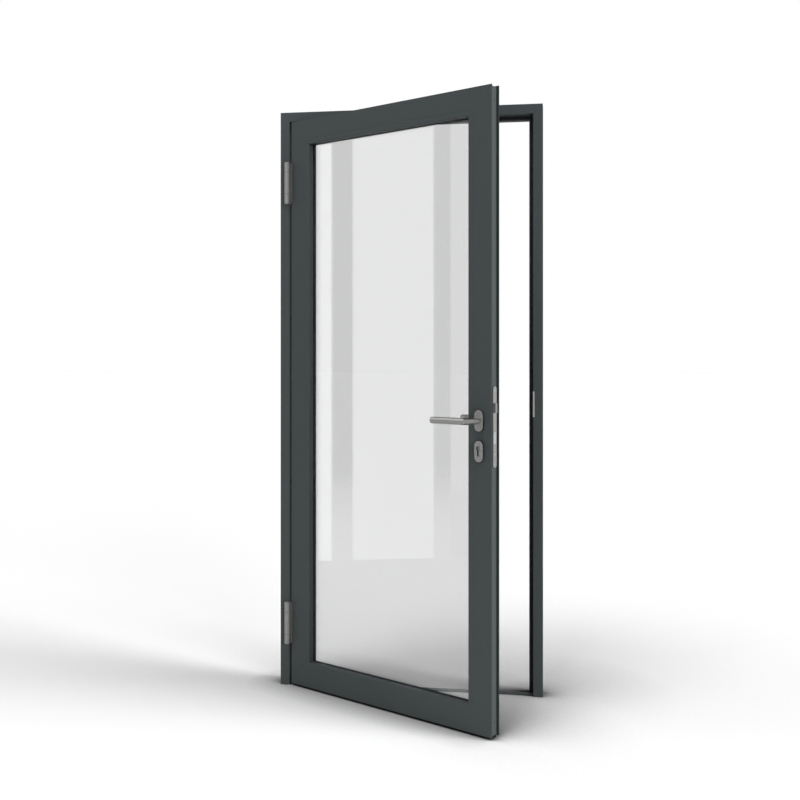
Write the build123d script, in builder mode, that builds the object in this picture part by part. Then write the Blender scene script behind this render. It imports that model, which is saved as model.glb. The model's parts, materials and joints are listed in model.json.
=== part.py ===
from build123d import *
import os

# Single-leaf glazed casement door with its frame, in millimetres.
# The origin is at floor level, under the middle of the threshold. +X runs from the hinge side to the lock
# side, +Y from the pull side to the push side, and +Z is up. The leaf stands open toward -Y.

# ---- driving dimensions: frame ----
frame_width = 1000.0
frame_height = 2200.0
frame_depth = 70.0
frame_face = 35.0
frame_wall = 2.5
stop_projection = 16.0
stop_gap = 4.0
stop_gasket_width = 8.0
stop_gasket_clearance = 0.1
stop_gasket_inset = 4.0
frame_cleat_arm = 110.0

threshold_depth = 28.0
threshold_height = 4.0
threshold_back_gap = 4.0
threshold_chamfer = 1.5
threshold_hole_radius = 2.75
threshold_head_radius = 5.5
threshold_hole_shares = (0.75, 0.25)

# Wall fixings go through the jambs, evenly spaced between the lowest and the highest.
fixing_count = 4
fixing_lowest = 150.0
fixing_highest_drop = 160.0
fixing_depth = 22.0
fixing_radius = 5.25
fixing_access_radius = 8.0
fixing_cap_head = 10.0
fixing_cap_height = 0.8

# ---- driving dimensions: leaf ----
opening = 30.0
joint_gap = 4.0
leaf_thickness = 41.0
leaf_bottom = 10.0
tube_face = 70.0
leaf_wall = 2.5
edge_groove = 4.0
flange_thickness = 3.0
edge_gasket_seat = 6.0
edge_gasket_reach = 2.0
edge_gasket_lip = 1.2
bead_face = 20.0
bead_wall = 1.5
bead_radius = 1.0
bead_clip_length = 14.0
bead_clip_width = 6.0
bead_clip_pitch = 310.0
bead_gasket_depth = 2.5
rear_gasket_depth = 1.5
rear_leg_thickness = 3.0
gasket_overlap = 12.0
gasket_setback = 0.5
pane_thickness = 4.0
pane_gap = 6.0
pane_clearance = 4.0
spacer_width = 12.0
spacer_setback = 1.0
block_length = 100.0
block_inset = 120.0
seal_clearance = 0.6
seal_side_gap = 0.5
seal_fin = 4.0
seal_back = 7.0
leaf_cleat_arm = 130.0
cleat_web = 9.0
cleat_clearance = 0.2
corner_pin_radius = 2.8
corner_pin_inset = 48.0
corner_pin_length = 9.0
corner_pin_proud = 0.3

# ---- driving dimensions: hinges ----
hinge_x = 31.0
hinge_y = -13.0
upper_hinge_drop = 274.0
lower_hinge_rise = 241.5
barrel_radius = 12.0
knuckle_height = 84.0
hinge_height = 160.0
washer_gap = 1.0
washer_setback = 0.6
hinge_pin_radius = 6.0
bush_wall = 1.5
pin_cap_height = 3.0
flap_thickness = 3.0
flap_end_gap = 0.5
frame_flap_depth = 34.5
lug_width = 6.0
lug_thickness = 4.0
lug_clearance = 0.7
hinge_screw_radius = 3.0
hinge_screw_head = 5.6
hinge_screw_length = 12.0
hinge_screw_offsets = (-28.0, 28.0)
leaf_screw_offsets = (-62.0, 0.0, 62.0)

# ---- driving dimensions: lock ----
handle_height = 1051.6
backset = 46.0
cylinder_drop = 92.0
faceplate_width = 20.0
faceplate_height = 270.0
faceplate_thickness = 3.0
faceplate_middle = 1031.6
faceplate_screw_inset = 13.0
lock_case_depth = 65.0
lock_case_height = 226.0
lock_case_thickness = 18.0
lock_case_wall = 1.2
lock_case_rise = -4.0
case_clearance = 0.3
bolt_thickness = 15.0
bolt_clearance = 0.3
deadbolt_middle = 995.6
deadbolt_height = 39.6
deadbolt_length = 44.0
deadbolt_throw = 20.0
latch_middle = 1094.3
latch_height = 31.2
latch_projection = 7.0
latch_nose = 11.0
latch_tail_width = 6.0
latch_tail_reach = 3.5
follower_radius = 9.5
follower_boss_radius = 8.5
follower_arm_length = 16.5
follower_arm_width = 6.0
follower_play = 2.6
running_clearance = 0.05
spindle_size = 8.0
spindle_depth = 20.5
screw_radius = 2.5
screw_head_radius = 4.5
faceplate_screw_length = 14.0

# Profile cylinder: a round barrel with a narrower web below it.
bulb_radius = 8.5
web_width = 10.0
cylinder_drop_height = 33.0
cylinder_recess = 5.5
plug_radius = 6.5
keyway_width = 2.2
keyway_height = 9.0
keyway_depth = 12.0
cam_radius = 14.0
cam_hub_radius = 8.0
cam_lobe_width = 8.0
cam_thickness = 9.4
cam_gap = 10.0
cam_clearance = 0.5
cylinder_screw_drop = 17.5

strike_thickness = 3.0
strike_width = 24.0
strike_margin = 27.0
strike_front = 8.5
strike_lip_height = 95.0
strike_lip_middle = 1085.5
strike_lip_back = 14.0
strike_lip_thickness = 1.5
strike_lip_inside = 1.0
strike_lip_reach = 5.0
strike_recess_gap = 0.2
strike_screw_length = 14.0
strike_screw_inset = 9.0
pocket_clearance = 1.2
box_wall = 1.5
box_end_gap = 5.0

# ---- driving dimensions: lever furniture ----
rose_width = 34.0
rose_height = 70.0
rose_thickness = 10.0
rose_wall = 2.0
rose_edge = 1.5
escutcheon_drop = 9.4
rose_stud_offset = 24.0
stud_radius = 2.0
stud_boss_radius = 4.0
stud_nut_radius = 3.8
stud_length = 11.0
collar_radius = 10.5
lever_radius = 11.5
lever_standoff = 69.0
lever_neck_shift = 18.5
neck_overrun = 18.0
lever_length = 151.0
lever_end_radius = 5.0
lever_gap = 0.3
grub_radius = 2.5
grub_depth = 6.0

# ---- derived sizes ----
rebate_depth = leaf_thickness + stop_gap
threshold_back = rebate_depth - threshold_back_gap
threshold_middle = threshold_back - threshold_depth / 2
leaf_side = frame_face + joint_gap
leaf_width = frame_width - 2 * leaf_side
leaf_top = frame_height - leaf_side
profile_face = edge_groove + tube_face
sight_face = profile_face + bead_face
glazing_depth = 2 * pane_thickness + pane_gap
pane_back = leaf_thickness - rear_leg_thickness - rear_gasket_depth
pane_front = pane_back - glazing_depth
bead_depth = pane_front - bead_gasket_depth
pane_edge = profile_face + pane_clearance
edge_gasket_front = leaf_thickness - edge_gasket_seat
edge_middle = leaf_thickness / 2
lock_edge = leaf_width - edge_groove
handle_u = lock_edge + faceplate_thickness - backset
cylinder_height = handle_height - cylinder_drop
escutcheon_height = cylinder_height - escutcheon_drop
case_middle = faceplate_middle + lock_case_rise
hinge_u = hinge_x - leaf_side
hinge_centres = {"upper": frame_height - upper_hinge_drop, "lower": lower_hinge_rise}
faceplate_screw_heights = [
    faceplate_middle + sign * (faceplate_height / 2 - faceplate_screw_inset) for sign in (-1, 1)
]
seal_tip = threshold_height + seal_clearance

# The frame's own coordinates start at its outer lower corner on the hinge side, at the pull-side face. The
# leaf's start at its hinge-side edge, at its own pull-side face, and turn with it about the hinge axis.
FRAME = Location((-frame_width / 2, -threshold_middle, 0))
HINGE = FRAME * Location((hinge_x, hinge_y, 0), (0, 0, -opening))
LEAF = HINGE * Location((-hinge_u, -hinge_y, 0))

os.makedirs("parts", exist_ok=True)


def level(at, height):
    """Horizontal plane: x along the width, y through the thickness, extruding upward."""
    return Plane(at * Location((0, 0, height)))


def facing(at, depth):
    """Upright plane seen from the pull side: x along the width, y upward, extruding toward the viewer."""
    return Plane(at * Location((0, depth, 0)) * Plane.XZ.location)


def side(at, across):
    """Upright plane across the width: x through the thickness, y upward, extruding toward the lock side."""
    return Plane(at * Location((across, 0, 0)) * Plane.YZ.location)


def mitre(at, across, height, toward_x, toward_z):
    """Plane through a frame corner at 45 degrees, facing the piece that is kept."""
    cut = Plane(origin=(across, 0, height), z_dir=(toward_x, 0, toward_z))
    return Plane(at * cut.location)


def save(piece, name):
    """Write one finished piece under its own name."""
    piece.part.label = name
    export_step(piece.part, f"parts/{name}.step")


def countersunk_screws(plane, spots, radius, head, length):
    """Countersunk screws with heads flush in this plane, going in against its direction."""
    with BuildPart() as screws:
        with BuildSketch(plane):
            with Locations(*spots):
                Circle(head)
        extrude(amount=radius - head, taper=45)
        with BuildSketch(plane):
            with Locations(*spots):
                Circle(radius)
        extrude(amount=-length)
    return screws


# ---- frame ----
def frame_section(place):
    """Hollow frame profile with its stop lip; place turns (in from the outside, back) into sketch axes."""
    lip = frame_face + stop_projection
    outline = (
        (0, 0),
        (frame_face, 0),
        (frame_face, rebate_depth),
        (lip, rebate_depth),
        (lip, frame_depth),
        (0, frame_depth),
    )
    chamber = (
        (frame_wall, frame_wall),
        (frame_face - frame_wall, frame_wall),
        (frame_face - frame_wall, rebate_depth + frame_wall),
        (lip - frame_wall, rebate_depth + frame_wall),
        (lip - frame_wall, frame_depth - frame_wall),
        (frame_wall, frame_depth - frame_wall),
    )
    Polygon(*[place(w, v) for w, v in outline], align=None)
    Polygon(*[place(w, v) for w, v in chamber], align=None, mode=Mode.SUBTRACT)


fixing_pitch = (frame_height - fixing_highest_drop - fixing_lowest) / (fixing_count - 1)
fixing_heights = [fixing_lowest + number * fixing_pitch for number in range(fixing_count)]

with BuildPart() as jamb_blank:
    with BuildSketch(level(FRAME, 0)):
        frame_section(lambda w, v: (w, v))
    extrude(amount=frame_height)
    split(bisect_by=mitre(FRAME, 0, frame_height, -1, -1), keep=Keep.TOP)
    with BuildSketch(side(FRAME, 0)):
        with Locations(*[(fixing_depth, z) for z in fixing_heights]):
            Circle(fixing_radius)
    extrude(amount=frame_wall, mode=Mode.SUBTRACT)
    with BuildSketch(side(FRAME, frame_face)):
        with Locations(*[(fixing_depth, z) for z in fixing_heights]):
            Circle(fixing_access_radius)
    extrude(amount=-frame_wall, mode=Mode.SUBTRACT)

hinge_screw_heights = [z + step for z in hinge_centres.values() for step in hinge_screw_offsets]
frame_screw_depth = (rebate_depth + hinge_y) / 2 + joint_gap

with BuildPart() as hinge_jamb:
    add(jamb_blank.part)
    with BuildSketch(side(FRAME, frame_face)):
        with Locations(*[(frame_screw_depth, z) for z in hinge_screw_heights]):
            Circle(hinge_screw_radius + running_clearance)
    extrude(amount=-frame_wall, mode=Mode.SUBTRACT)
save(hinge_jamb, "hinge_jamb")

# The strike plate lies flush in a cut-out of the lock jamb's rebate wall, with the boxes behind it.
strike_top = latch_middle + latch_height / 2 + strike_margin
strike_bottom = deadbolt_middle - deadbolt_height / 2 - strike_margin
strike_height = strike_top - strike_bottom
strike_middle = (strike_top + strike_bottom) / 2
strike_depth_middle = strike_front + strike_width / 2
jamb_inner = frame_width - frame_face
strike_screw_heights = (strike_bottom + strike_screw_inset, strike_top - strike_screw_inset)

with BuildPart() as lock_jamb:
    mirror(jamb_blank.part, about=side(FRAME, frame_width / 2))
    with BuildSketch(side(FRAME, jamb_inner)):
        with Locations((strike_depth_middle, strike_middle)):
            Rectangle(strike_width + 2 * strike_recess_gap, strike_height + 2 * strike_recess_gap)
    extrude(amount=strike_thickness, mode=Mode.SUBTRACT)
save(lock_jamb, "lock_jamb")

with BuildPart() as frame_head:
    with BuildSketch(side(FRAME, 0)):
        frame_section(lambda w, v: (v, frame_height - w))
    extrude(amount=frame_width)
    split(bisect_by=mitre(FRAME, 0, frame_height, 1, 1), keep=Keep.TOP)
    split(bisect_by=mitre(FRAME, frame_width, frame_height, -1, 1), keep=Keep.TOP)
save(frame_head, "frame_head")

frame_cleat_width = frame_face - 2 * frame_wall - 2 * cleat_clearance
frame_cleat_start = frame_wall + cleat_clearance

with BuildPart() as frame_corner_cleats:
    with BuildSketch(facing(FRAME, frame_cleat_start)):
        for mirrored in (False, True):
            x_near = frame_width - frame_cleat_start if mirrored else frame_cleat_start
            x_far = frame_width - frame_cleat_arm if mirrored else frame_cleat_arm
            x_web = x_near + (-frame_cleat_width if mirrored else frame_cleat_width)
            z_near = frame_height - frame_cleat_start
            Polygon(
                (x_near, z_near),
                (x_far, z_near),
                (x_far, z_near - frame_cleat_width),
                (x_web, z_near - frame_cleat_width),
                (x_web, frame_height - frame_cleat_arm),
                (x_near, frame_height - frame_cleat_arm),
                align=None,
            )
    extrude(amount=-(rebate_depth - frame_wall))
save(frame_corner_cleats, "frame_corner_cleats")

gasket_out = frame_face + stop_projection - stop_gasket_inset - stop_gasket_width
gasket_in = frame_face + stop_projection - stop_gasket_inset

with BuildPart() as frame_gasket:
    with BuildSketch(facing(FRAME, rebate_depth)):
        with Locations((frame_width / 2, 0)):
            Rectangle(
                frame_width - 2 * gasket_out,
                frame_height - gasket_out,
                align=(Align.CENTER, Align.MIN),
            )
            Rectangle(
                frame_width - 2 * gasket_in,
                frame_height - gasket_in,
                align=(Align.CENTER, Align.MIN),
                mode=Mode.SUBTRACT,
            )
    extrude(amount=stop_gap - edge_gasket_reach - stop_gasket_clearance)
save(frame_gasket, "frame_gasket")

threshold_holes = [
    (frame_width / 2 * (1 + sign * share), threshold_middle) for share in threshold_hole_shares for sign in (-1, 1)
]

with BuildPart() as threshold:
    with BuildSketch(level(FRAME, 0)):
        with Locations((frame_width / 2, threshold_middle)):
            Rectangle(frame_width - 2 * frame_face, threshold_depth)
    extrude(amount=threshold_height)
    top_face = threshold.faces().sort_by(Axis.Z)[-1]
    chamfer(top_face.edges().filter_by(Axis.X), threshold_chamfer)
    with Locations(*[level(FRAME, threshold_height) * Location(spot) for spot in threshold_holes]):
        CounterSinkHole(threshold_hole_radius, threshold_head_radius)
save(threshold, "threshold")

with BuildPart() as fixing_caps:
    for start, direction in ((frame_face, 1), (jamb_inner, -1)):
        with BuildSketch(side(FRAME, start)):
            with Locations(*[(fixing_depth, z) for z in fixing_heights]):
                Circle(fixing_cap_head)
        extrude(amount=direction * fixing_cap_height)
        with BuildSketch(side(FRAME, start)):
            with Locations(*[(fixing_depth, z) for z in fixing_heights]):
                Circle(fixing_access_radius - running_clearance)
        extrude(amount=-direction * 2 * frame_wall)
save(fixing_caps, "fixing_caps")


# ---- leaf ----
def leaf_section(place):
    """Hollow leaf profile: edge groove with its front flange, tube, and the rear leg behind the glass."""
    outline = (
        (0, 0),
        (profile_face, 0),
        (profile_face, leaf_thickness - rear_leg_thickness),
        (sight_face, leaf_thickness - rear_leg_thickness),
        (sight_face, leaf_thickness),
        (edge_groove, leaf_thickness),
        (edge_groove, flange_thickness),
        (0, flange_thickness),
    )
    chamber = (
        (edge_groove + leaf_wall, leaf_wall),
        (profile_face - leaf_wall, leaf_wall),
        (profile_face - leaf_wall, leaf_thickness - leaf_wall),
        (edge_groove + leaf_wall, leaf_thickness - leaf_wall),
    )
    Polygon(*[place(w, v) for w, v in outline], align=None)
    Polygon(*[place(w, v) for w, v in chamber], align=None, mode=Mode.SUBTRACT)


pin_low = leaf_bottom + corner_pin_inset
pin_high = leaf_top - corner_pin_inset
stile_pin_spots = ((edge_middle, pin_low), (edge_middle, pin_high))
rail_pin_spots = ((corner_pin_inset, edge_middle), (leaf_width - corner_pin_inset, edge_middle))
leaf_hinge_heights = [z + step for z in hinge_centres.values() for step in leaf_screw_offsets]
leaf_screw_depth = edge_middle

with BuildPart() as stile_blank:
    with BuildSketch(level(LEAF, leaf_bottom)):
        leaf_section(lambda w, v: (w, v))
    extrude(amount=leaf_top - leaf_bottom)
    split(bisect_by=mitre(LEAF, 0, leaf_bottom, -1, 1), keep=Keep.TOP)
    split(bisect_by=mitre(LEAF, 0, leaf_top, -1, -1), keep=Keep.TOP)
    with BuildSketch(side(LEAF, edge_groove)):
        with Locations(*stile_pin_spots):
            Circle(corner_pin_radius + running_clearance)
    extrude(amount=leaf_wall, mode=Mode.SUBTRACT)

with BuildPart() as hinge_stile:
    add(stile_blank.part)
    with BuildSketch(side(LEAF, edge_groove)):
        with Locations(*[(leaf_screw_depth, z) for z in leaf_hinge_heights]):
            Circle(hinge_screw_radius + running_clearance)
    extrude(amount=leaf_wall, mode=Mode.SUBTRACT)
save(hinge_stile, "hinge_stile")


def profile_cylinder_outline(grow):
    """Outline of a profile cylinder, grown by a clearance."""
    with Locations((handle_u, cylinder_height)):
        Circle(bulb_radius + grow)
        Rectangle(
            web_width + 2 * grow,
            cylinder_drop_height - bulb_radius + grow,
            align=(Align.CENTER, Align.MAX),
        )


with BuildPart() as lock_stile:
    mirror(stile_blank.part, about=side(LEAF, leaf_width / 2))
    with BuildSketch(side(LEAF, lock_edge)):
        with Locations((edge_middle, case_middle)):
            Rectangle(lock_case_thickness + 2 * case_clearance, lock_case_height + 2 * case_clearance)
    extrude(amount=-leaf_wall, mode=Mode.SUBTRACT)
    with BuildSketch(facing(LEAF, leaf_thickness)):
        profile_cylinder_outline(case_clearance)
        with Locations((handle_u, handle_height)):
            Circle(collar_radius + case_clearance)
            for offset in (-rose_stud_offset, rose_stud_offset):
                with Locations((0, offset)):
                    Circle(stud_radius + running_clearance)
        with Locations((handle_u, escutcheon_height)):
            for offset in (-rose_stud_offset, rose_stud_offset):
                with Locations((0, offset)):
                    Circle(stud_radius + running_clearance)
    extrude(amount=leaf_thickness, mode=Mode.SUBTRACT)
    with BuildSketch(side(LEAF, lock_edge)):
        with Locations(*[(edge_middle, z) for z in faceplate_screw_heights]):
            Circle(screw_radius + running_clearance)
    extrude(amount=-leaf_wall, mode=Mode.SUBTRACT)
save(lock_stile, "lock_stile")


def leaf_rail(place, outer_height, direction):
    """One rail across the leaf, mitred at both ends, with its corner pin holes."""
    with BuildPart() as rail:
        with BuildSketch(side(LEAF, 0)):
            leaf_section(place)
        extrude(amount=leaf_width)
        split(bisect_by=mitre(LEAF, 0, outer_height, 1, direction), keep=Keep.TOP)
        split(bisect_by=mitre(LEAF, leaf_width, outer_height, -1, direction), keep=Keep.TOP)
        with BuildSketch(level(LEAF, outer_height - direction * edge_groove)):
            with Locations(*rail_pin_spots):
                Circle(corner_pin_radius + running_clearance)
        extrude(amount=-direction * leaf_wall, mode=Mode.SUBTRACT)
    return rail


save(leaf_rail(lambda w, v: (v, leaf_top - w), leaf_top, 1), "top_rail")
save(leaf_rail(lambda w, v: (v, leaf_bottom + w), leaf_bottom, -1), "bottom_rail")

# L-shaped cleats tie the leaf's corners inside the tubes; the pins come in from the edge groove.
cleat_out = edge_groove + leaf_wall + cleat_clearance
cleat_in = profile_face - leaf_wall - cleat_clearance
cleat_depth = leaf_thickness - 2 * leaf_wall - 2 * cleat_clearance
leaf_corners = ((0, leaf_bottom, 1, 1), (0, leaf_top, 1, -1))
leaf_corners += ((leaf_width, leaf_bottom, -1, 1), (leaf_width, leaf_top, -1, -1))

with BuildPart() as leaf_corner_cleats:
    with BuildSketch(facing(LEAF, leaf_wall + cleat_clearance)):
        for u, z, du, dz in leaf_corners:
            Polygon(
                (u + du * cleat_out, z + dz * cleat_out),
                (u + du * leaf_cleat_arm, z + dz * cleat_out),
                (u + du * leaf_cleat_arm, z + dz * cleat_in),
                (u + du * cleat_in, z + dz * cleat_in),
                (u + du * cleat_in, z + dz * leaf_cleat_arm),
                (u + du * cleat_out, z + dz * leaf_cleat_arm),
                align=None,
            )
            near = cleat_out + cleat_web
            far = leaf_cleat_arm - cleat_web
            for across, up in ((cleat_in - cleat_web, far), (far, cleat_in - cleat_web)):
                Polygon(
                    (u + du * near, z + dz * near),
                    (u + du * across, z + dz * near),
                    (u + du * across, z + dz * up),
                    (u + du * near, z + dz * up),
                    align=None,
                    mode=Mode.SUBTRACT,
                )
    extrude(amount=-cleat_depth)
    with BuildSketch(side(LEAF, 0)):
        with Locations(*stile_pin_spots):
            Circle(corner_pin_radius)
    extrude(amount=leaf_width, mode=Mode.SUBTRACT)
    with BuildSketch(level(LEAF, 0)):
        with Locations(*rail_pin_spots):
            Circle(corner_pin_radius)
    extrude(amount=frame_height, mode=Mode.SUBTRACT)
save(leaf_corner_cleats, "leaf_corner_cleats")

pin_out = edge_groove - corner_pin_proud
pin_end = pin_out + corner_pin_length
pin_spots = [
    side(LEAF, across) * Location(spot)
    for across in (pin_out, leaf_width - pin_end)
    for spot in stile_pin_spots
]
pin_spots += [
    level(LEAF, height) * Location(spot)
    for height in (leaf_bottom + pin_out, leaf_top - pin_end)
    for spot in rail_pin_spots
]

with BuildPart() as leaf_corner_pins:
    with Locations(*pin_spots):
        Cylinder(
            corner_pin_radius,
            corner_pin_length,
            align=(Align.CENTER, Align.CENTER, Align.MIN),
        )
save(leaf_corner_pins, "leaf_corner_pins")


# ---- glazing ----
def leaf_ring(outer, inner):
    """Rectangular ring round the leaf, between two distances in from its edges."""
    middle = (leaf_bottom + leaf_top) / 2
    with Locations((leaf_width / 2, middle)):
        Rectangle(leaf_width - 2 * outer, leaf_top - leaf_bottom - 2 * outer)
        Rectangle(leaf_width - 2 * inner, leaf_top - leaf_bottom - 2 * inner, mode=Mode.SUBTRACT)


def leaf_panel(edge, front, thickness):
    """Flat rectangular panel in the leaf, this far in from its edges."""
    with BuildPart() as panel:
        with BuildSketch(facing(LEAF, front)):
            with Locations((leaf_width / 2, (leaf_bottom + leaf_top) / 2)):
                Rectangle(leaf_width - 2 * edge, leaf_top - leaf_bottom - 2 * edge)
        extrude(amount=-thickness)
    return panel


def leaf_frame(outer, inner, front, depth):
    """Rectangular ring in the leaf with one depth."""
    with BuildPart() as ring:
        with BuildSketch(facing(LEAF, front)):
            leaf_ring(outer, inner)
        extrude(amount=-depth)
    return ring


spacer_in = sight_face - spacer_setback
gasket_edge = sight_face - gasket_setback
save(leaf_panel(pane_edge, pane_front, pane_thickness), "pull_pane")
save(leaf_panel(pane_edge, pane_back - pane_thickness, pane_thickness), "push_pane")
save(leaf_frame(spacer_in - spacer_width, spacer_in, pane_front + pane_thickness, pane_gap), "pane_spacer")
gasket_start = gasket_edge - gasket_overlap
save(leaf_frame(gasket_start, gasket_edge, bead_depth, bead_gasket_depth), "bead_gasket")
save(leaf_frame(gasket_start, gasket_edge, pane_back, rear_gasket_depth), "rear_glazing_gasket")

with BuildPart() as setting_blocks:
    with BuildSketch(facing(LEAF, pane_front)):
        for u in (pane_edge + block_inset, leaf_width - pane_edge - block_inset):
            with Locations((u, leaf_bottom + profile_face)):
                Rectangle(block_length, pane_clearance, align=(Align.CENTER, Align.MIN))
        for u in (profile_face, leaf_width - profile_face - pane_clearance):
            with Locations((u, leaf_top - profile_face - block_inset)):
                Rectangle(pane_clearance, block_length, align=(Align.MIN, Align.MAX))
    extrude(amount=-(pane_back - pane_front))
save(setting_blocks, "setting_blocks")

bead_out = profile_face + cleat_clearance


def bead_section(place):
    """Glazing bead: a channel open toward the tube, with its front flush with the leaf's face."""
    corner = (sight_face, 0)
    Polygon(
        *[
            place(w, v)
            for w, v in (
                (bead_out, 0),
                corner,
                (sight_face, bead_depth),
                (bead_out, bead_depth),
                (bead_out, bead_depth - bead_wall),
                (sight_face - bead_wall, bead_depth - bead_wall),
                (sight_face - bead_wall, bead_wall),
                (bead_out, bead_wall),
            )
        ],
        align=None,
    )
    spot = Vector(*place(*corner))
    fillet(vertices().sort_by(lambda vertex: (Vector(*vertex) - spot).length)[0], bead_radius)


def across_bead(place):
    """Bead along a rail, the full width between the stiles' tubes."""
    with BuildPart() as bead:
        with BuildSketch(side(LEAF, bead_out)):
            bead_section(place)
        extrude(amount=leaf_width - 2 * bead_out)
    return bead


def upright_bead(place):
    """Bead along a stile, between the two beads of the rails."""
    start = leaf_bottom + sight_face + cleat_clearance
    with BuildPart() as bead:
        with BuildSketch(level(LEAF, start)):
            bead_section(place)
        extrude(amount=leaf_top - sight_face - cleat_clearance - start)
    return bead


save(across_bead(lambda w, v: (v, leaf_top - w)), "bead_top")
save(across_bead(lambda w, v: (v, leaf_bottom + w)), "bead_bottom")
save(upright_bead(lambda w, v: (w, v)), "bead_hinge_side")
save(upright_bead(lambda w, v: (leaf_width - w, v)), "bead_lock_side")

upright_run = leaf_top - leaf_bottom - 2 * sight_face
across_run = leaf_width - 2 * sight_face
upright_clips = int(upright_run / bead_clip_pitch)
across_clips = int(across_run / bead_clip_pitch)
clip_line = profile_face + bead_clip_width / 2

with BuildPart() as bead_clips:
    with BuildSketch(facing(LEAF, bead_wall)):
        for u in (clip_line, leaf_width - clip_line):
            with Locations((u, (leaf_bottom + leaf_top) / 2)):
                with GridLocations(1, bead_clip_pitch, 1, upright_clips):
                    Rectangle(bead_clip_width, bead_clip_length)
        for z in (leaf_bottom + clip_line, leaf_top - clip_line):
            with Locations((leaf_width / 2, z)):
                with GridLocations(bead_clip_pitch, 1, across_clips, 1):
                    Rectangle(bead_clip_length, bead_clip_width)
    extrude(amount=-(bead_depth - 2 * bead_wall))
save(bead_clips, "bead_clips")

with BuildPart() as edge_gasket:
    with BuildSketch(facing(LEAF, edge_gasket_front)):
        with Locations((leaf_width / 2, leaf_bottom)):
            Rectangle(
                leaf_width + 2 * edge_gasket_lip,
                leaf_top - leaf_bottom + edge_gasket_lip,
                align=(Align.CENTER, Align.MIN),
            )
            Rectangle(
                leaf_width - 2 * edge_groove,
                leaf_top - leaf_bottom - edge_groove,
                align=(Align.CENTER, Align.MIN),
                mode=Mode.SUBTRACT,
            )
    extrude(amount=-(edge_gasket_seat + edge_gasket_reach))
save(edge_gasket, "edge_gasket")

seal_top = leaf_bottom + edge_groove - corner_pin_proud
seal_front = flange_thickness + seal_side_gap
seal_rear = leaf_thickness - seal_back
seal_middle = (seal_front + seal_rear) / 2

with BuildPart() as bottom_seal:
    with BuildSketch(side(LEAF, edge_groove)):
        Polygon(
            (seal_front, seal_top),
            (seal_front, seal_tip),
            (seal_front + seal_fin / 2, seal_tip),
            (seal_front + seal_fin, leaf_bottom - seal_side_gap),
            (seal_middle - seal_fin / 2, leaf_bottom - seal_side_gap),
            (seal_middle, seal_tip),
            (seal_middle + seal_fin / 2, leaf_bottom - seal_side_gap),
            (seal_rear - seal_fin, leaf_bottom - seal_side_gap),
            (seal_rear - seal_fin / 2, seal_tip),
            (seal_rear, seal_tip),
            (seal_rear, seal_top),
            align=None,
        )
    extrude(amount=leaf_width - 2 * edge_groove)
save(bottom_seal, "bottom_seal")

# ---- hinges ----
# The middle knuckle and the pin stay on the frame; the two end knuckles swing with the leaf.
knuckle_half = knuckle_height / 2
hinge_half = hinge_height / 2 - pin_cap_height - washer_setback
bush_radius = hinge_pin_radius + running_clearance + bush_wall
end_start = knuckle_half + washer_gap / 2
groove_flap_front = flange_thickness + cleat_clearance
groove_flap_back = edge_gasket_front - flap_end_gap
frame_flap_half = knuckle_half - washer_gap / 2

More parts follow.
